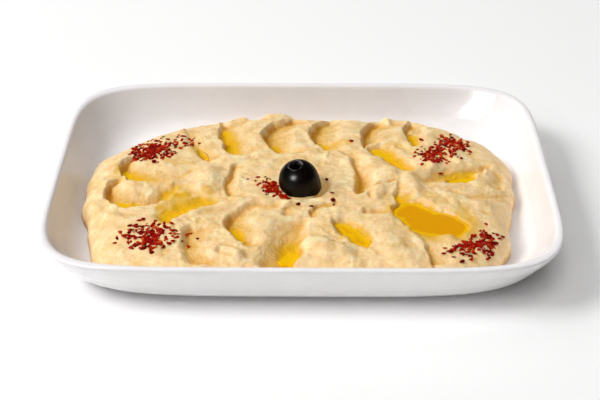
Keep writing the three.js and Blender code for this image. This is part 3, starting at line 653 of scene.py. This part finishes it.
def hummus_piece(pools):
    """The spooned surface with a flat underside, drawn in a little at its foot."""
    nx, ny = HEAP_CELLS
    x, y = heap_grid(nx, ny)
    z = surface_height(x, y)
    row = 2 * ny + 1
    index = np.arange(x.size).reshape(x.shape)
    quads = np.stack(
        [index[:-1, :-1], index[1:, :-1], index[1:, 1:], index[:-1, 1:]], -1).reshape(-1, 4)
    rim = rim_of_grid(nx, ny)
    foot_x, foot_y = heap_grid(nx, ny, HEAP_UNDERCUT)
    foot = [(foot_x[i + nx, j + ny], foot_y[i + nx, j + ny], HEAP_UNDERSIDE) for i, j in rim]
    points = np.vstack([
        np.stack([x, y, z], -1).reshape(-1, 3), foot, [[*HEAP_CENTRE, HEAP_UNDERSIDE]]])
    faces = quads.tolist()
    first = x.size
    middle = len(points) - 1
    for k, (i, j) in enumerate(rim):
        after = (k + 1) % len(rim)
        ni, nj = rim[after]
        here = (i + nx) * row + j + ny
        there = (ni + nx) * row + nj + ny
        faces.append((here, first + k, first + after, there))
        faces.append((middle, first + after, first + k))
    piece = mesh_object("hummus_spooned", keep_in_dish(points), faces)
    store(piece, "oil_soak_and_shade", oil_soaked_and_shaded(points, pools))
    store(piece, "hollow", hollows(points))
    store(piece, "crevice", crevices(points))
    return piece


def oil_soaked_and_shaded(points, pools):
    """How oily each point of the hummus is, with two patches of painted shade among the stains."""
    x, y, z = points.T
    soaked = np.zeros(len(points))
    for pool in pools:
        near = from_middle(pool["at"], pool["half"], pool["turn"], x, y)
        above = np.maximum(z - pool["level"], 0)
        wet = np.exp(-((above / SOAK_RISE) ** 2)) * smooth_step((SOAK_OUTLINE - near) / SOAK_FADE)
        soaked = np.maximum(soaked, wet)
    cell, patchiness, seed = STAIN_PATCHES
    patchy = STAIN_BASE + patchiness * noise(x, y, cell, seed)
    for at, half, turn, strength in STAINS_AND_SHADE:
        near = from_middle(at, half, turn, x, y)
        wet = strength * patchy * smooth_step((STAIN_OUTLINE - near) / STAIN_FADE)
        soaked = np.maximum(soaked, wet)
    return soaked


def hollows(points):
    """How deep each point of the hummus lies in a stroke."""
    x, y, z = points.T
    return np.clip((heap_height(how_far_out(x, y)) - z) / DEEP_HOLLOW, 0, 1)


def crevices(points):
    """How deep each point of the hummus lies below the surface close round it."""
    cell, spread = CREVICE_CELL, CREVICE_SPREAD
    half_x, half_y = DISH_LENGTH / 2, DISH_WIDTH / 2
    x, y = np.meshgrid(np.arange(-half_x, half_x, cell), np.arange(-half_y, half_y, cell),
                       indexing="ij")
    ground = surface_height(x, y)
    reach = np.arange(-3 * spread, 3 * spread + cell, cell)
    weight = np.exp(-0.5 * (reach / spread) ** 2)
    weight /= weight.sum()
    mean = np.apply_along_axis(np.convolve, 0, ground, weight, mode="same")
    mean = np.apply_along_axis(np.convolve, 1, mean, weight, mode="same")
    i = np.clip(((points[:, 0] + half_x) / cell).round().astype(int), 0, x.shape[0] - 1)
    j = np.clip(((points[:, 1] + half_y) / cell).round().astype(int), 0, x.shape[1] - 1)
    return np.clip((mean - ground)[i, j] / DEEP_CREVICE, 0, 1)


# ----------------------------------------------------------------------- oil

def from_middle(at, half, turn, x, y):
    """0 at the middle of a turned oval, 1 on its outline."""
    turn = math.radians(turn)
    dx, dy = x - at[0], y - at[1]
    along = (dx * math.cos(turn) + dy * math.sin(turn)) / half[0]
    across = (dy * math.cos(turn) - dx * math.sin(turn)) / half[1]
    return np.hypot(along, across)


def find_pools():
    """The pools, each with the level that its oil stands at."""
    pools = []
    for name, at, half, turn, fill in POOLS:
        pool = {"name": name, "at": at, "half": half, "turn": turn, "fill": fill}
        low, high = np.array(at) - max(half), np.array(at) + max(half)
        x, y = np.meshgrid(np.arange(low[0], high[0], POOL_CELL),
                           np.arange(low[1], high[1], POOL_CELL), indexing="ij")
        inside = from_middle(at, half, turn, x, y) < 1
        heights = np.sort(surface_height(x, y)[inside])
        pool["level"] = heights[int(POOL_LOWEST_SHARE * len(heights))] + fill
        pools.append(pool)
    return pools


def pool_piece(pool):
    """A flat sheet of oil whose edge runs just into the hummus round it."""
    at, half, level = pool["at"], pool["half"], pool["level"]
    reach = max(half) + POOL_MARGIN
    steps = int(2 * reach / POOL_CELL)
    side = np.linspace(-reach, reach, steps)
    x, y = np.meshgrid(at[0] + side, at[1] + side, indexing="ij")
    ground = surface_height(x, y)
    near = from_middle(at, half, pool["turn"], x, y)
    kept = (near < POOL_OUTLINE) & (ground < level + POOL_RUN_UP)
    kept = largest_patch(kept, ground < level)
    depth = level - ground
    top = level + POOL_CLIMB * np.exp(-np.clip(depth, 0, None) / POOL_CLIMB_DEPTH)
    under = np.minimum(ground, level) - POOL_BITE
    number = -np.ones(x.shape, int)
    number[kept] = np.arange(kept.sum())
    count = int(kept.sum())
    points = np.vstack([
        np.stack([x[kept], y[kept], top[kept]], -1),
        np.stack([x[kept], y[kept], under[kept]], -1)])
    faces = []
    edges = {}
    for i in range(steps - 1):
        for j in range(steps - 1):
            quad = (number[i, j], number[i + 1, j], number[i + 1, j + 1], number[i, j + 1])
            if min(quad) < 0:
                continue
            quad = tuple(int(q) for q in quad)
            faces.append(quad)
            faces.append(tuple(q + count for q in reversed(quad)))
            for a, b in zip(quad, quad[1:] + quad[:1]):
                if (b, a) in edges:
                    del edges[(b, a)]
                else:
                    edges[(a, b)] = True
    for a, b in edges:
        faces.append((b, a, a + count, b + count))
    piece = mesh_object(pool["name"] + "_wet", points, faces)
    deep = np.clip(depth[kept] * pool["fill"] / OIL_RICHNESS, 0, 1)
    store(piece, "oil_depth", np.concatenate([deep, deep]))
    drop_loose_points(piece)
    return piece


def largest_patch(kept, wet):
    """The connected cells of kept that hold the most wet cells."""
    label = np.zeros(kept.shape, int)
    best, best_wet, count = 0, -1, 0
    for start in zip(*np.nonzero(kept & wet)):
        if label[start]:
            continue
        count += 1
        label[start] = count
        stack, held = [start], 0
        while stack:
            i, j = stack.pop()
            held += int(wet[i, j])
            for a, b in ((i + 1, j), (i - 1, j), (i, j + 1), (i, j - 1)):
                inside = 0 <= a < kept.shape[0] and 0 <= b < kept.shape[1]
                if inside and kept[a, b] and not label[a, b]:
                    label[a, b] = count
                    stack.append((a, b))
        if held > best_wet:
            best, best_wet = count, held
    return label == best


def drop_loose_points(piece):
    """Points that no face uses are taken out of the mesh."""
    mesh = bmesh.new()
    mesh.from_mesh(piece.data)
    loose = [v for v in mesh.verts if not v.link_faces]
    bmesh.ops.delete(mesh, geom=loose, context="VERTS")
    mesh.to_mesh(piece.data)
    mesh.free()


# --------------------------------------------------------------------- olive

def olive_place():
    """Where the olive stands and how it leans."""
    at = Vector(OLIVE_AT) * MM
    lean = (Matrix.Rotation(math.radians(OLIVE_LEAN_FORWARD), 4, "X")
            @ Matrix.Rotation(math.radians(-OLIVE_LEAN_LEFT), 4, "Y"))
    return Matrix.Translation(at) @ lean


def barrel(angle):
    """Radius and height on the olive's side, a little fuller than an ellipse."""
    across, along = math.cos(angle), math.sin(angle)
    return (OLIVE_RADIUS * across**OLIVE_FULLNESS,
            OLIVE_HALF_LENGTH * math.copysign(abs(along) ** OLIVE_FULLNESS, along))


def waves_round(angle, waves, height, turn):
    """Waves round the olive: how many, how high, and turned how far."""
    return height * np.cos(waves * angle + turn)


def olive_profile():
    """Radius, height and how torn it is, from the foot over the lip into the pit."""
    lip_angle = math.acos((OLIVE_LIP_RADIUS / OLIVE_RADIUS) ** (1 / OLIVE_FULLNESS))
    foot_angle = -math.pi / 2 + OLIVE_FOOT_ANGLE
    skin = [(*barrel(a), 0.0) for a in np.linspace(foot_angle, lip_angle, OLIVE_SIDE_STEPS)]
    lip_top = skin[-1][1]
    lip = [(radius, lip_top + rise, torn) for radius, rise, torn in OLIVE_LIP]
    return skin + lip, lip_top


def olive_piece():
    """The olive with a torn lip round its pit, standing where it is pressed in."""
    profile, lip_top = olive_profile()
    angle = np.linspace(0, 2 * np.pi, OLIVE_ROUND_STEPS, endpoint=False)
    tears = sum(waves_round(angle, *tear) for tear in LIP_TEARS)
    # The cut flesh is pale all round, and paler in two directions as painted glints on the lip.
    pale_and_glint = PALE_EVERYWHERE + sum(
        share * np.maximum(0, np.cos(angle - towards)) ** power
        for share, towards, power in PALE_FLESH_AND_GLINTS)
    ripples, ripple_height, twist = SKIN_RIPPLES
    rings, cut_and_glint = [], []
    for radius, z, torn in profile:
        ripple = (1 - torn) * waves_round(angle, ripples, ripple_height, twist * z)
        r = radius * (1 + torn * tears) + ripple
        dipped = z + torn * waves_round(angle, *LIP_DIPS)
        rings.append(np.stack([r * np.cos(angle), r * np.sin(angle), dipped], -1))
        below = max(0.0, lip_top - z)
        cut_and_glint.append(pale_and_glint * float(torn > 0) * math.exp(-below / PALE_DEPTH))
    foot, pit = -OLIVE_HALF_LENGTH, lip_top - OLIVE_PIT_DEPTH
    piece = mesh_object("olive_pitted", *skin_of_rings(rings, (0, 0, foot), (0, 0, pit)))
    store(piece, "cut_and_glint", np.concatenate([*cut_and_glint, [0, 0]]))
    piece.data.transform(olive_place())
    return piece


# -------------------------------------------------------------- chilli flakes

def scatter(draw):
    """A random place in a round cluster of unit size, dense in its middle."""
    angle = 2 * math.pi * next(draw)
    far = math.sqrt(-CLUSTER_SPREAD * math.log(1 - CLUSTER_SHARE * next(draw)))
    return far * math.cos(angle), far * math.sin(angle)


def in_cluster(cluster, draw, widen=1.0):
    """A random place in one of the clusters."""
    at, spread, turn, _, _ = cluster
    u, v = scatter(draw)
    along, across = u * spread[0] * widen, v * spread[1] * widen
    turn = math.radians(turn)
    return (at[0] + along * math.cos(turn) - across * math.sin(turn),
            at[1] + along * math.sin(turn) + across * math.cos(turn))


def is_free(place, pools, clear_of_olive):
    """Whether a flake may lie there: on the heap, off the olive and out of the oil."""
    x, y = np.array(place[0]), np.array(place[1])
    if how_far_out(x, y) > FLAKES_WITHIN:
        return False
    if math.hypot(x - OLIVE_AT[0], y - OLIVE_AT[1]) < OLIVE_RADIUS + clear_of_olive:
        return False
    return all(from_middle(pool["at"], pool["half"], pool["turn"], x, y) > 1 for pool in pools)


def flake_list(pools):
    """Place, size, tilt and turn of every flake: the large ones, then the small."""
    draw = random_from(FLAKE_SEED)
    places = list(LONE_FLAKES)
    for cluster in FLAKE_CLUSTERS:
        places += [in_cluster(cluster, draw) for _ in range(cluster[3])]
    flakes = []
    for place in places:
        if not is_free(place, pools, FLAKE_CLEAR_OF_OLIVE):
            continue
        size = [mix(*limits, next(draw)) for limits in (FLAKE_LENGTH, FLAKE_WIDTH, FLAKE_THICKNESS)]
        tilt = FLAKE_TILT * (next(draw) - 0.5)
        flakes.append((place, size, tilt, 2 * math.pi * next(draw)))
    small = random_from(FLAKE_SEED + 1)
    for cluster in FLAKE_CLUSTERS:
        for _ in range(cluster[4]):
            place = in_cluster(cluster, small, mix(*CRUMB_SPREAD, next(small)))
            length = mix(*CRUMB_LENGTH, next(small) ** CRUMB_SMALLNESS)
            width = length * mix(*CRUMB_WIDTH, next(small))
            thickness = mix(*CRUMB_THICKNESS, next(small))
            tilt = CRUMB_TILT * (next(small) - 0.5)
            turn = 2 * math.pi * next(small)
            if is_free(place, pools, CRUMB_CLEAR_OF_OLIVE):
                flakes.append((place, [length, width, thickness], tilt, turn))
    return flakes


def chip(name, seed):
    """One unit chip of dried chilli skin: an uneven flat stone with few faces."""
    draw = random_from(seed)
    points, faces = [], []
    for k in range(CHIP_CORNERS):
        angle = 2 * math.pi * (k + CHIP_TURN * (next(draw) - 0.5)) / CHIP_CORNERS
        far = 0.5 * mix(*CHIP_REACH, next(draw))
        lift = CHIP_WAVE * (next(draw) - 0.5)
        points.append((far * math.cos(angle), far * math.sin(angle), lift))
    crown = [CHIP_OFF_CENTRE * (next(draw) - 0.5) for _ in range(2)]
    points += [(*crown, 0.5), (0, 0, -0.5)]
    for k in range(CHIP_CORNERS):
        after = (k + 1) % CHIP_CORNERS
        faces.append((k, after, CHIP_CORNERS))
        faces.append((after, k, CHIP_CORNERS + 1))
    mesh = bpy.data.meshes.new(name)
    mesh.from_pydata(points, [], faces)
    return mesh


def seed_points(flakes):
    """A point for each flake, with its size, turn and tone."""
    xy = np.array([place for place, _, _, _ in flakes])
    sizes = np.array([size for _, size, _, _ in flakes])
    turns = [(tilt, 0, turn) for _, _, tilt, turn in flakes]
    draw = random_from(FLAKE_SEED + 2)
    z = surface_height(xy[:, 0], xy[:, 1]) + FLAKE_LIFT
    holder = mesh_object("flake_places", np.column_stack([xy, z]), [])
    store(holder, "chip_size", sizes * MM, "FLOAT_VECTOR", "vector")
    store(holder, "chip_turn", turns, "FLOAT_VECTOR", "vector")
    store(holder, "tone", [next(draw) for _ in flakes])
    return holder


def sprinkle_tree(chips, material):
    """Geometry Nodes: a chip at each point, sized and turned by the point's values."""
    tree = bpy.data.node_groups.new("sprinkle", "GeometryNodeTree")
    tree.interface.new_socket("Geometry", in_out="INPUT", socket_type="NodeSocketGeometry")
    size_socket = tree.interface.new_socket(
        "Chip size", in_out="INPUT", socket_type="NodeSocketFloat")
    seed_socket = tree.interface.new_socket(
        "Seed", in_out="INPUT", socket_type="NodeSocketInt")
    tree.interface.new_socket("Geometry", in_out="OUTPUT", socket_type="NodeSocketGeometry")
    add, link = tree.nodes.new, tree.links.new
    source, result = add("NodeGroupInput"), add("NodeGroupOutput")
    gather = add("GeometryNodeJoinGeometry")
    for kind in chips:
        info = add("GeometryNodeObjectInfo")
        info.inputs["Object"].default_value = kind
        info.inputs["As Instance"].default_value = True
        link(info.outputs["Geometry"], gather.inputs[0])
    pick = add("FunctionNodeRandomValue")
    pick.data_type = "INT"
    lowest, highest = [s for s in pick.inputs if s.type == "INT" and s.enabled][:2]
    lowest.default_value = 0
    highest.default_value = len(chips) - 1
    link(source.outputs["Seed"], pick.inputs["Seed"])
    read = {}
    for name in ("chip_size", "chip_turn"):
        node = add("GeometryNodeInputNamedAttribute")
        node.data_type = "FLOAT_VECTOR"
        node.inputs["Name"].default_value = name
        read[name] = next(s for s in node.outputs if s.name == "Attribute" and s.enabled)
    scale = add("ShaderNodeVectorMath")
    scale.operation = "SCALE"
    link(read["chip_size"], scale.inputs[0])
    link(source.outputs["Chip size"], scale.inputs["Scale"])
    place = add("GeometryNodeInstanceOnPoints")
    place.inputs["Pick Instance"].default_value = True
    link(source.outputs["Geometry"], place.inputs["Points"])
    link(gather.outputs["Geometry"], place.inputs["Instance"])
    picked = next(s for s in pick.outputs if s.type == "INT" and s.enabled)
    link(picked, place.inputs["Instance Index"])
    link(read["chip_turn"], place.inputs["Rotation"])
    link(scale.outputs[0], place.inputs["Scale"])
    real = add("GeometryNodeRealizeInstances")
    paint = add("GeometryNodeSetMaterial")
    paint.inputs["Material"].default_value = material
    link(place.outputs["Instances"], real.inputs["Geometry"])
    link(real.outputs["Geometry"], paint.inputs["Geometry"])
    link(paint.outputs["Geometry"], result.inputs[0])
    return tree, size_socket.identifier, seed_socket.identifier


def flakes_piece(pools, material):
    """All the flakes as one plain mesh."""
    holder = seed_points(flake_list(pools))
    chips = []
    for k in range(CHIP_KINDS):
        name = f"chip_{k}"
        chips.append(bpy.data.objects.new(name, chip(name, CHIP_SEED + k)))
    tree, size_id, seed_id = sprinkle_tree(chips, material)
    modifier = holder.modifiers.new("sprinkle", "NODES")
    modifier.node_group = tree
    modifier[size_id] = 1.0
    modifier[seed_id] = PICK_SEED
    graph = bpy.context.evaluated_depsgraph_get()
    mesh = bpy.data.meshes.new_from_object(holder.evaluated_get(graph), depsgraph=graph)
    mesh.name = "chilli_flakes"
    mesh.shade_flat()
    for helper in (holder, *chips):
        bpy.data.objects.remove(helper)
    return put_in_scene("chilli_flakes", mesh)


# ----------------------------------------------------------------- materials

def srgb(*levels):
    """Linear colour from 0 to 255 display levels."""
    out = [v / 255 for v in levels]
    return (*(c / 12.92 if c <= 0.04045 else ((c + 0.055) / 1.055) ** 2.4 for c in out), 1)


def new_material(name, colour, roughness):
    """A material, its tree and its shader."""
    material = bpy.data.materials.new(name)
    material.use_nodes = True
    shader = material.node_tree.nodes["Principled BSDF"]
    shader.inputs["Base Color"].default_value = colour
    shader.inputs["Roughness"].default_value = roughness
    return material, material.node_tree, shader


def mottle_group():
    """Soft clouds and fine grain in object space, shared by every finish."""
    group = bpy.data.node_groups.new("mottle", "ShaderNodeTree")
    for name, value in (("Cloud size", 0.008), ("Grain size", 0.0008), ("Grain share", 0.5)):
        socket = group.interface.new_socket(name, in_out="INPUT", socket_type="NodeSocketFloat")
        socket.default_value = value
    for name in ("Cloud", "Grain", "Height"):
        group.interface.new_socket(name, in_out="OUTPUT", socket_type="NodeSocketFloat")
    add, link = group.nodes.new, group.links.new
    source, result = add("NodeGroupInput"), add("NodeGroupOutput")
    place = add("ShaderNodeTexCoord")
    made = {}
    for name, detail in (("Cloud", 3.0), ("Grain", 4.0)):
        count = add("ShaderNodeMath")
        count.operation = "DIVIDE"
        count.inputs[0].default_value = 1.0
        link(source.outputs[name + " size"], count.inputs[1])
        texture = add("ShaderNodeTexNoise")
        texture.inputs["Detail"].default_value = detail
        texture.inputs["Roughness"].default_value = 0.6
        link(place.outputs["Object"], texture.inputs["Vector"])
        link(count.outputs[0], texture.inputs["Scale"])
        made[name] = texture.outputs["Fac"]
        link(made[name], result.inputs[name])
    blend = add("ShaderNodeMix")
    link(source.outputs["Grain share"], blend.inputs[0])
    link(made["Cloud"], blend.inputs[2])
    link(made["Grain"], blend.inputs[3])
    link(blend.outputs[0], result.inputs["Height"])
    return group


def use_mottle(tree, group, cloud, grain, share):
    """The mottle in a material, with the sizes of its clouds and grain in metres."""
    node = tree.nodes.new("ShaderNodeGroup")
    node.node_tree = group
    node.inputs["Cloud size"].default_value = cloud
    node.inputs["Grain size"].default_value = grain
    node.inputs["Grain share"].default_value = share
    return node


def ramp(tree, value, stops):
    """A colour that runs through the stops as the value grows."""
    node = tree.nodes.new("ShaderNodeValToRGB")
    elements = node.color_ramp.elements
    while len(elements) < len(stops):
        elements.new(0.5)
    for element, (position, colour) in zip(elements, stops):
        element.position = position
        element.color = colour
    tree.links.new(value, node.inputs["Fac"])
    return node.outputs["Color"]


def blend_colour(tree, factor, a, b, kind="MIX"):
    """Colour a turned into b as far as the factor says."""
    node = tree.nodes.new("ShaderNodeMix")
    node.data_type = "RGBA"
    node.blend_type = kind
    sockets = [s for s in node.inputs if s.enabled]
    for socket, value in zip(sockets, (factor, a, b)):
        if isinstance(value, bpy.types.NodeSocket):
            tree.links.new(value, socket)
        else:
            socket.default_value = value
    return next(s for s in node.outputs if s.enabled)


def scaled(tree, value, low, high, start=0.0, end=1.0):
    """Runs from low to high while the value runs from start to end."""
    node = tree.nodes.new("ShaderNodeMapRange")
    for name, number in (("From Min", start), ("From Max", end), ("To Min", low),
                         ("To Max", high)):
        node.inputs[name].default_value = number
    tree.links.new(value, node.inputs["Value"])
    return node.outputs["Result"]


def times(tree, a, b):
    node = tree.nodes.new("ShaderNodeMath")
    node.operation = "MULTIPLY"
    tree.links.new(a, node.inputs[0])
    tree.links.new(b, node.inputs[1])
    return node.outputs[0]


def point_value(tree, name):
    node = tree.nodes.new("ShaderNodeAttribute")
    node.attribute_name = name
    return node.outputs["Fac"]


def bump(tree, shader, height, strength, distance):
    node = tree.nodes.new("ShaderNodeBump")
    node.inputs["Strength"].default_value = strength
    node.inputs["Distance"].default_value = distance
    tree.links.new(height, node.inputs["Height"])
    tree.links.new(node.outputs["Normal"], shader.inputs["Normal"])


def porcelain_glaze(mottle):
    material, tree, shader = new_material("porcelain_glaze", srgb(238, 237, 238), 0.16)
    texture = use_mottle(tree, mottle, cloud=0.012, grain=0.003, share=0.35)
    colour = ramp(tree, texture.outputs["Cloud"], [
        (0.3, srgb(243, 240, 241)), (0.7, srgb(247, 244, 245))])
    tree.links.new(colour, shader.inputs["Base Color"])
    tree.links.new(scaled(tree, texture.outputs["Grain"], 0.13, 0.22), shader.inputs["Roughness"])
    bump(tree, shader, texture.outputs["Height"], strength=0.2, distance=0.001)
    shader.inputs["IOR"].default_value = 1.5
    return material


def hummus_cream(mottle):
    material, tree, shader = new_material("hummus_cream", srgb(243, 208, 148), 0.5)
    texture = use_mottle(tree, mottle, cloud=0.006, grain=0.0013, share=0.75)
    cream = ramp(tree, texture.outputs["Cloud"], [
        (0.30, srgb(233, 195, 132)), (0.52, srgb(246, 214, 160)), (0.71, srgb(255, 231, 184))])
    speck = ramp(tree, texture.outputs["Grain"], [
        (0.30, srgb(214, 174, 112)), (0.44, srgb(255, 255, 255))])
    cream = blend_colour(tree, 0.4, cream, speck, "MULTIPLY")
    # Deeper in a stroke the hummus turns golden brown: partly oil soaked into the hollow, partly
    # painted shade.
    deep = scaled(tree, point_value(tree, "hollow"), 0.0, 0.8, start=0.1, end=0.8)
    cream = blend_colour(tree, deep, cream, srgb(224, 172, 56))
    # Crevices turn darker golden brown: partly oil gathered in them, partly painted shade at the
    # foot of the walls.
    crevice_soak_and_shade = scaled(tree, point_value(tree, "crevice"), 0.0, 0.85, end=0.9)
    cream = blend_colour(tree, crevice_soak_and_shade, cream, srgb(226, 160, 34))
    # Oil soaked into the hummus, and two patches of painted shade, turn it amber.
    oil_and_shade = scaled(tree, point_value(tree, "oil_soak_and_shade"), 0.0, 0.95)
    cream = blend_colour(tree, oil_and_shade, cream, srgb(225, 174, 8))
    tree.links.new(cream, shader.inputs["Base Color"])
    wet = scaled(tree, point_value(tree, "oil_soak_and_shade"), 0.5, 0.36)
    tree.links.new(wet, shader.inputs["Roughness"])
    shader.inputs["Subsurface Weight"].default_value = 0.35
    shader.inputs["Subsurface Radius"].default_value = (1.0, 0.45, 0.15)
    shader.inputs["Subsurface Scale"].default_value = 0.002
    rough = scaled(tree, point_value(tree, "hollow"), 0.32, 1.0, start=0.05, end=0.6)
    under_oil = scaled(tree, point_value(tree, "oil_soak_and_shade"), 1.0, 0.25)
    height = times(tree, times(tree, texture.outputs["Height"], rough), under_oil)
    bump(tree, shader, height, strength=0.9, distance=0.0016)
    return material


def olive_skin(mottle):
    material, tree, shader = new_material("olive_skin", srgb(9, 6, 6), 0.2)
    texture = use_mottle(tree, mottle, cloud=0.005, grain=0.0006, share=0.35)
    colour = ramp(tree, texture.outputs["Cloud"], [
        (0.35, srgb(5, 2, 1)), (0.7, srgb(10, 5, 3))])
    # The cut flesh shows pale specks: partly its own colour, partly painted glints.
    flesh_and_glint = ramp(tree, texture.outputs["Grain"], [
        (0.42, srgb(24, 18, 18)), (0.6, srgb(140, 130, 130))])
    colour = blend_colour(tree, point_value(tree, "cut_and_glint"), colour, flesh_and_glint)
    tree.links.new(colour, shader.inputs["Base Color"])
    tree.links.new(scaled(tree, texture.outputs["Grain"], 0.3, 0.42), shader.inputs["Roughness"])
    shader.inputs["Specular IOR Level"].default_value = 0.05
    shader.inputs["Coat Weight"].default_value = 0.24
    shader.inputs["Coat Roughness"].default_value = 0.24
    bump(tree, shader, texture.outputs["Height"], strength=0.15, distance=0.0004)
    return material


def golden_oil(mottle):
    material, tree, shader = new_material("golden_oil", srgb(225, 165, 10), 0.04)
    texture = use_mottle(tree, mottle, cloud=0.01, grain=0.002, share=0.3)
    depth = point_value(tree, "oil_depth")
    colour = ramp(tree, depth, [
        (0.0, srgb(237, 192, 20)), (0.35, srgb(235, 188, 6)), (0.66, srgb(235, 182, 2)),
        (0.86, srgb(224, 156, 1))])
    tree.links.new(colour, shader.inputs["Base Color"])
    tree.links.new(scaled(tree, depth, 0.0, 0.93, end=0.3), shader.inputs["Alpha"])
    tree.links.new(scaled(tree, texture.outputs["Cloud"], 0.03, 0.07), shader.inputs["Roughness"])
    shader.inputs["IOR"].default_value = 1.47
    bump(tree, shader, texture.outputs["Height"], strength=0.05, distance=0.0003)
    return material


def chilli_skin(mottle):
    material, tree, shader = new_material("chilli_skin", srgb(141, 25, 15), 0.42)
    texture = use_mottle(tree, mottle, cloud=0.0012, grain=0.0003, share=0.5)
    tone = ramp(tree, point_value(tree, "tone"), [
        (0.0, srgb(100, 3, 1)), (0.35, srgb(152, 9, 4)), (0.75, srgb(182, 24, 8)),
        (1.0, srgb(218, 88, 28))])
    shade = ramp(tree, texture.outputs["Cloud"], [
        (0.35, srgb(190, 180, 180)), (0.65, srgb(255, 255, 255))])
    tree.links.new(blend_colour(tree, 0.6, tone, shade, "MULTIPLY"), shader.inputs["Base Color"])
    shader.inputs["Specular IOR Level"].default_value = 0.05
    bump(tree, shader, texture.outputs["Height"], strength=0.4, distance=0.0002)
    return material


# ------------------------------------------------------------ stage and light

def table_top():
    half = TABLE_HALF
    corners = [(-half, -half, 0), (half, -half, 0), (half, half, 0), (-half, half, 0)]
    table = mesh_object("table_top", corners, [(0, 1, 2, 3)])
    material, _, _ = new_material("table_white", srgb(252, 252, 252), 0.7)
    table.data.materials.append(material)


def soft_light(name, at, width, power, hidden_from):
    """A square lamp that faces the dish."""
    lamp = bpy.data.lights.new(name, "AREA")
    lamp.shape = "SQUARE"
    lamp.size = width
    lamp.energy = power
    holder = put_in_scene(name, lamp)
    holder.location = at
    holder.rotation_euler = (-Vector(at)).to_track_quat("-Z", "Y").to_euler()
    holder.visible_glossy = hidden_from != "glossy"
    holder.visible_diffuse = hidden_from != "diffuse"


def studio():
    world = bpy.data.worlds.new("studio")
    world.use_nodes = True
    sky = world.node_tree.nodes["Background"]
    sky.inputs["Color"].default_value = ROOM_COLOUR
    sky.inputs["Strength"].default_value = ROOM_STRENGTH
    bpy.context.scene.world = world
    for light in LIGHTS:
        soft_light(*light)
    bpy.context.scene.view_settings.view_transform = "Standard"
    bpy.context.scene.view_settings.look = "None"


def camera():
    """In front of the dish, looking down on it at about 34 degrees."""
    data = bpy.data.cameras.new("viewer")
    data.lens = LENS
    data.sensor_width = SENSOR_WIDTH
    data.clip_start = NEAREST_SEEN
    holder = put_in_scene("viewer", data)
    ahead = Vector(VIEWER_AHEAD).normalized()
    right = ahead.cross(Vector(VIEWER_UP)).normalized()
    up = right.cross(ahead)
    at = Vector(VIEWER_AT) * MM
    holder.matrix_world = Matrix((
        (right.x, up.x, -ahead.x, at.x),
        (right.y, up.y, -ahead.y, at.y),
        (right.z, up.z, -ahead.z, at.z),
        (0, 0, 0, 1),
    ))
    bpy.context.scene.camera = holder


# ------------------------------------------------------------------ assembly

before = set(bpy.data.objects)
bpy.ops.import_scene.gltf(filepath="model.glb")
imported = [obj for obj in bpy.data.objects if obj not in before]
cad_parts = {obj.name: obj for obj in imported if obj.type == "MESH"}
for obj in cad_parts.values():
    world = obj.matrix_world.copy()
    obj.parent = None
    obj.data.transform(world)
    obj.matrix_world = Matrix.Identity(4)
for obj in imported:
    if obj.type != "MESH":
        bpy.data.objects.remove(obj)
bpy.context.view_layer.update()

camera()
studio()
table_top()

mottle = mottle_group()
oil_finish = golden_oil(mottle)
pools = find_pools()

hand_in(dish_piece(), porcelain_glaze(mottle), "porcelain", "dish")
hand_in(hummus_piece(pools), hummus_cream(mottle), "hummus", "hummus")
hand_in(olive_piece(), olive_skin(mottle), "olive", "olive")
chilli = chilli_skin(mottle)
hand_in(flakes_piece(pools, chilli), chilli, "hummus")
for pool in pools:
    oil = pool_piece(pool)
    oil.visible_shadow = False
    hand_in(oil, oil_finish, "oil", pool["name"])
